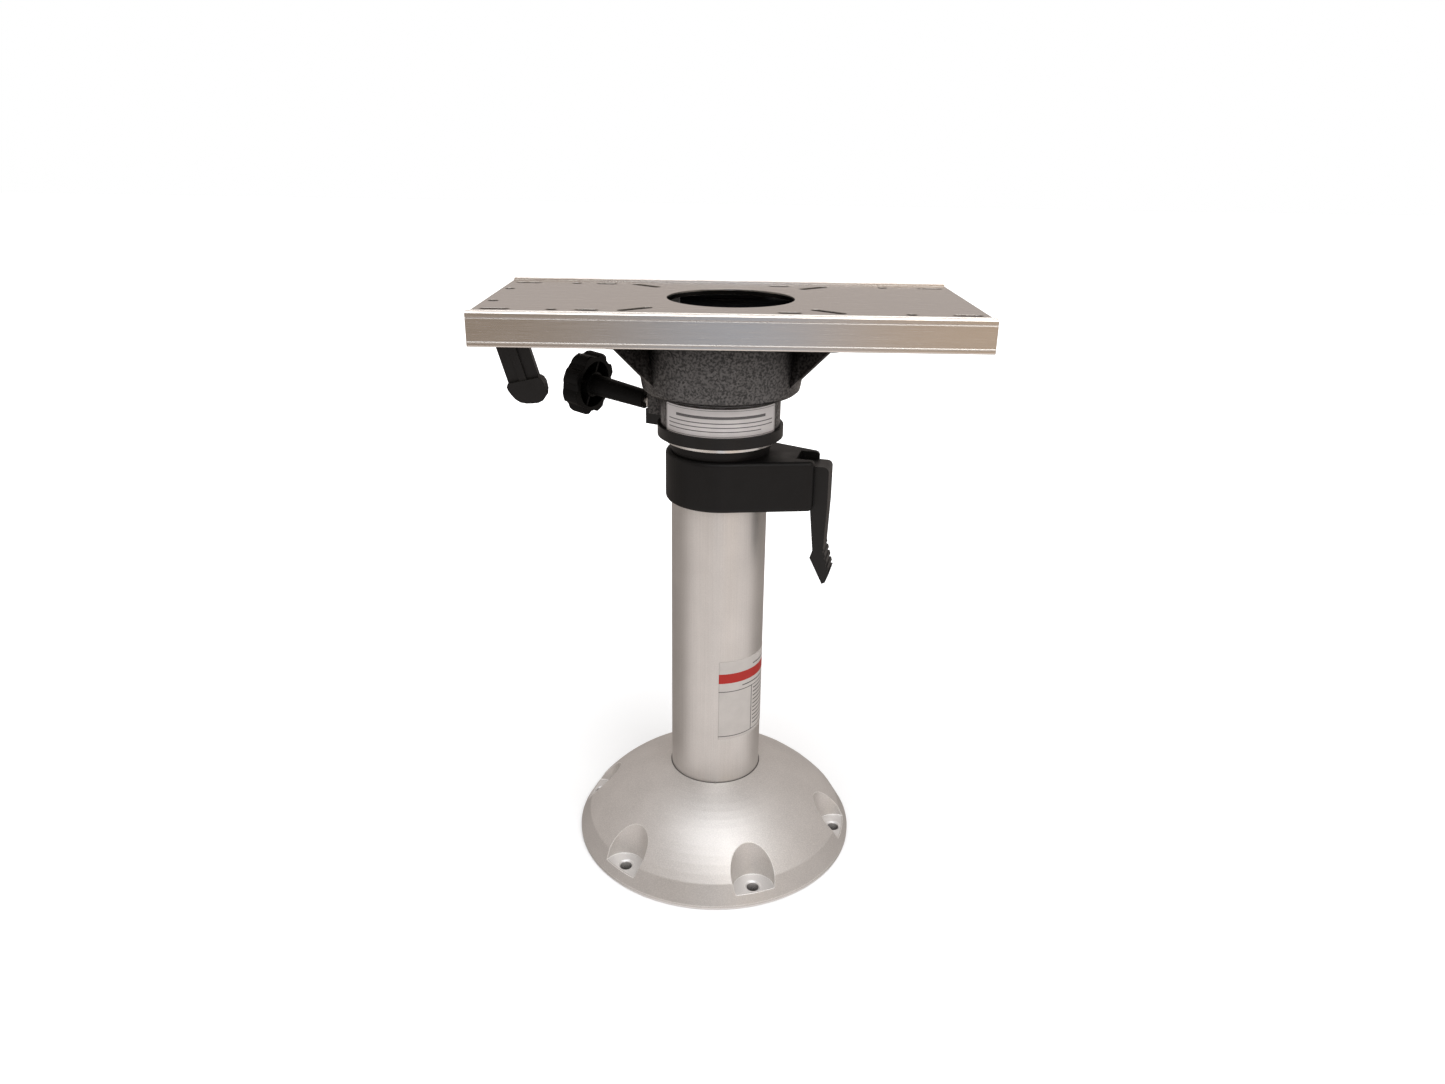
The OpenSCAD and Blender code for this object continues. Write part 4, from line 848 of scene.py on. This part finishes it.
def studio_lamp(name, place, aim, side, power, colour):
    """A soft square lamp at a place, turned to face a point, with its side in metres and its watts."""
    light = bpy.data.lights.new(name, "AREA")
    light.shape = "SQUARE"
    light.size = side
    light.energy = power
    light.color = colour
    lamp = bpy.data.objects.new(name, light)
    bpy.context.scene.collection.objects.link(lamp)
    back = np.array(place, float) - np.array(aim, float)
    back /= np.linalg.norm(back)
    upright = (0.0, 1.0, 0.0) if abs(back[2]) > 0.98 else (0.0, 0.0, 1.0)
    right = np.cross(upright, back)
    right /= np.linalg.norm(right)
    up = np.cross(back, right)
    lamp.matrix_world = placed(right, up, back, place)
    lamp.visible_camera = False


def studio_camera():
    """The camera of the photograph: its place, turns, lens and small shift."""
    yaw = math.radians(CAMERA_YAW)
    pitch = math.radians(CAMERA_PITCH)
    roll = math.radians(CAMERA_ROLL)
    forward = math.cos(pitch)
    ahead = np.array([math.sin(yaw) * forward, math.cos(yaw) * forward, math.sin(pitch)])
    level = np.array([math.cos(yaw), -math.sin(yaw), 0.0])
    upright = np.cross(level, ahead)
    right = math.cos(roll) * level + math.sin(roll) * upright
    up = math.cos(roll) * upright - math.sin(roll) * level
    data = bpy.data.cameras.new("photo_camera")
    data.sensor_width = SENSOR_WIDTH
    data.lens = SENSOR_WIDTH * FOCAL_PIXELS / PICTURE_WIDTH
    data.shift_y = SHIFT_PIXELS / PICTURE_WIDTH
    data.clip_start = 0.01
    data.clip_end = 100.0
    camera = bpy.data.objects.new("photo_camera", data)
    bpy.context.scene.collection.objects.link(camera)
    camera.matrix_world = placed(right, up, -ahead, CAMERA_PLACE)
    bpy.context.scene.camera = camera


class PEDESTAL_OT_studio(bpy.types.Operator):
    """Sets up the floor, the glowing ball, the world, the soft lamps and the camera"""

    bl_idname = "pedestal.studio"
    bl_label = "Studio"

    def execute(self, context):
        studio_floor()
        studio_shell()
        studio_world()
        studio_lamp(
            "key_lamp",
            place=(0.8, -1.4, 1.7),
            aim=(0.0, 0.0, 0.25),
            side=1.0,
            power=9.0,
            colour=(1.0, 0.99, 0.97),
        )
        studio_lamp(
            "top_lamp",
            place=(0.06, -0.54, 2.3),
            aim=(0.0, -0.05, 0.1),
            side=1.9,
            power=29.0,
            colour=(0.93, 0.985, 1.05),
        )
        studio_camera()
        context.scene.view_settings.view_transform = "Standard"
        return {"FINISHED"}


STEPS = (
    PEDESTAL_OT_castings,
    PEDESTAL_OT_tubes,
    PEDESTAL_OT_slide,
    PEDESTAL_OT_mouldings,
    PEDESTAL_OT_hardware,
    PEDESTAL_OT_labels,
    PEDESTAL_OT_studio,
)


class PEDESTAL_PT_panel(bpy.types.Panel):
    """Lists the steps with their colours and sizes."""

    bl_idname = "PEDESTAL_PT_panel"
    bl_label = "Boat Seat Pedestal"
    bl_space_type = "VIEW_3D"
    bl_region_type = "UI"
    bl_category = "Pedestal"

    def draw(self, context):
        for step in STEPS:
            self.layout.operator(step.bl_idname)
        for group in (context.scene.pedestal_colours, context.scene.pedestal_sizes):
            for name in group.__annotations__:
                self.layout.prop(group, name)


CLASSES = (PedestalColours, PedestalSizes, *STEPS, PEDESTAL_PT_panel)


def register():
    for made in CLASSES:
        bpy.utils.register_class(made)
    bpy.types.Scene.pedestal_colours = bpy.props.PointerProperty(type=PedestalColours)
    bpy.types.Scene.pedestal_sizes = bpy.props.PointerProperty(type=PedestalSizes)


def unregister():
    del bpy.types.Scene.pedestal_sizes
    del bpy.types.Scene.pedestal_colours
    for made in reversed(CLASSES):
        bpy.utils.unregister_class(made)


def main():
    """Registers the add-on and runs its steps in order."""
    register()
    for step in STEPS:
        group, name = step.bl_idname.split(".")
        getattr(getattr(bpy.ops, group), name)()


if __name__ == "__main__":
    main()
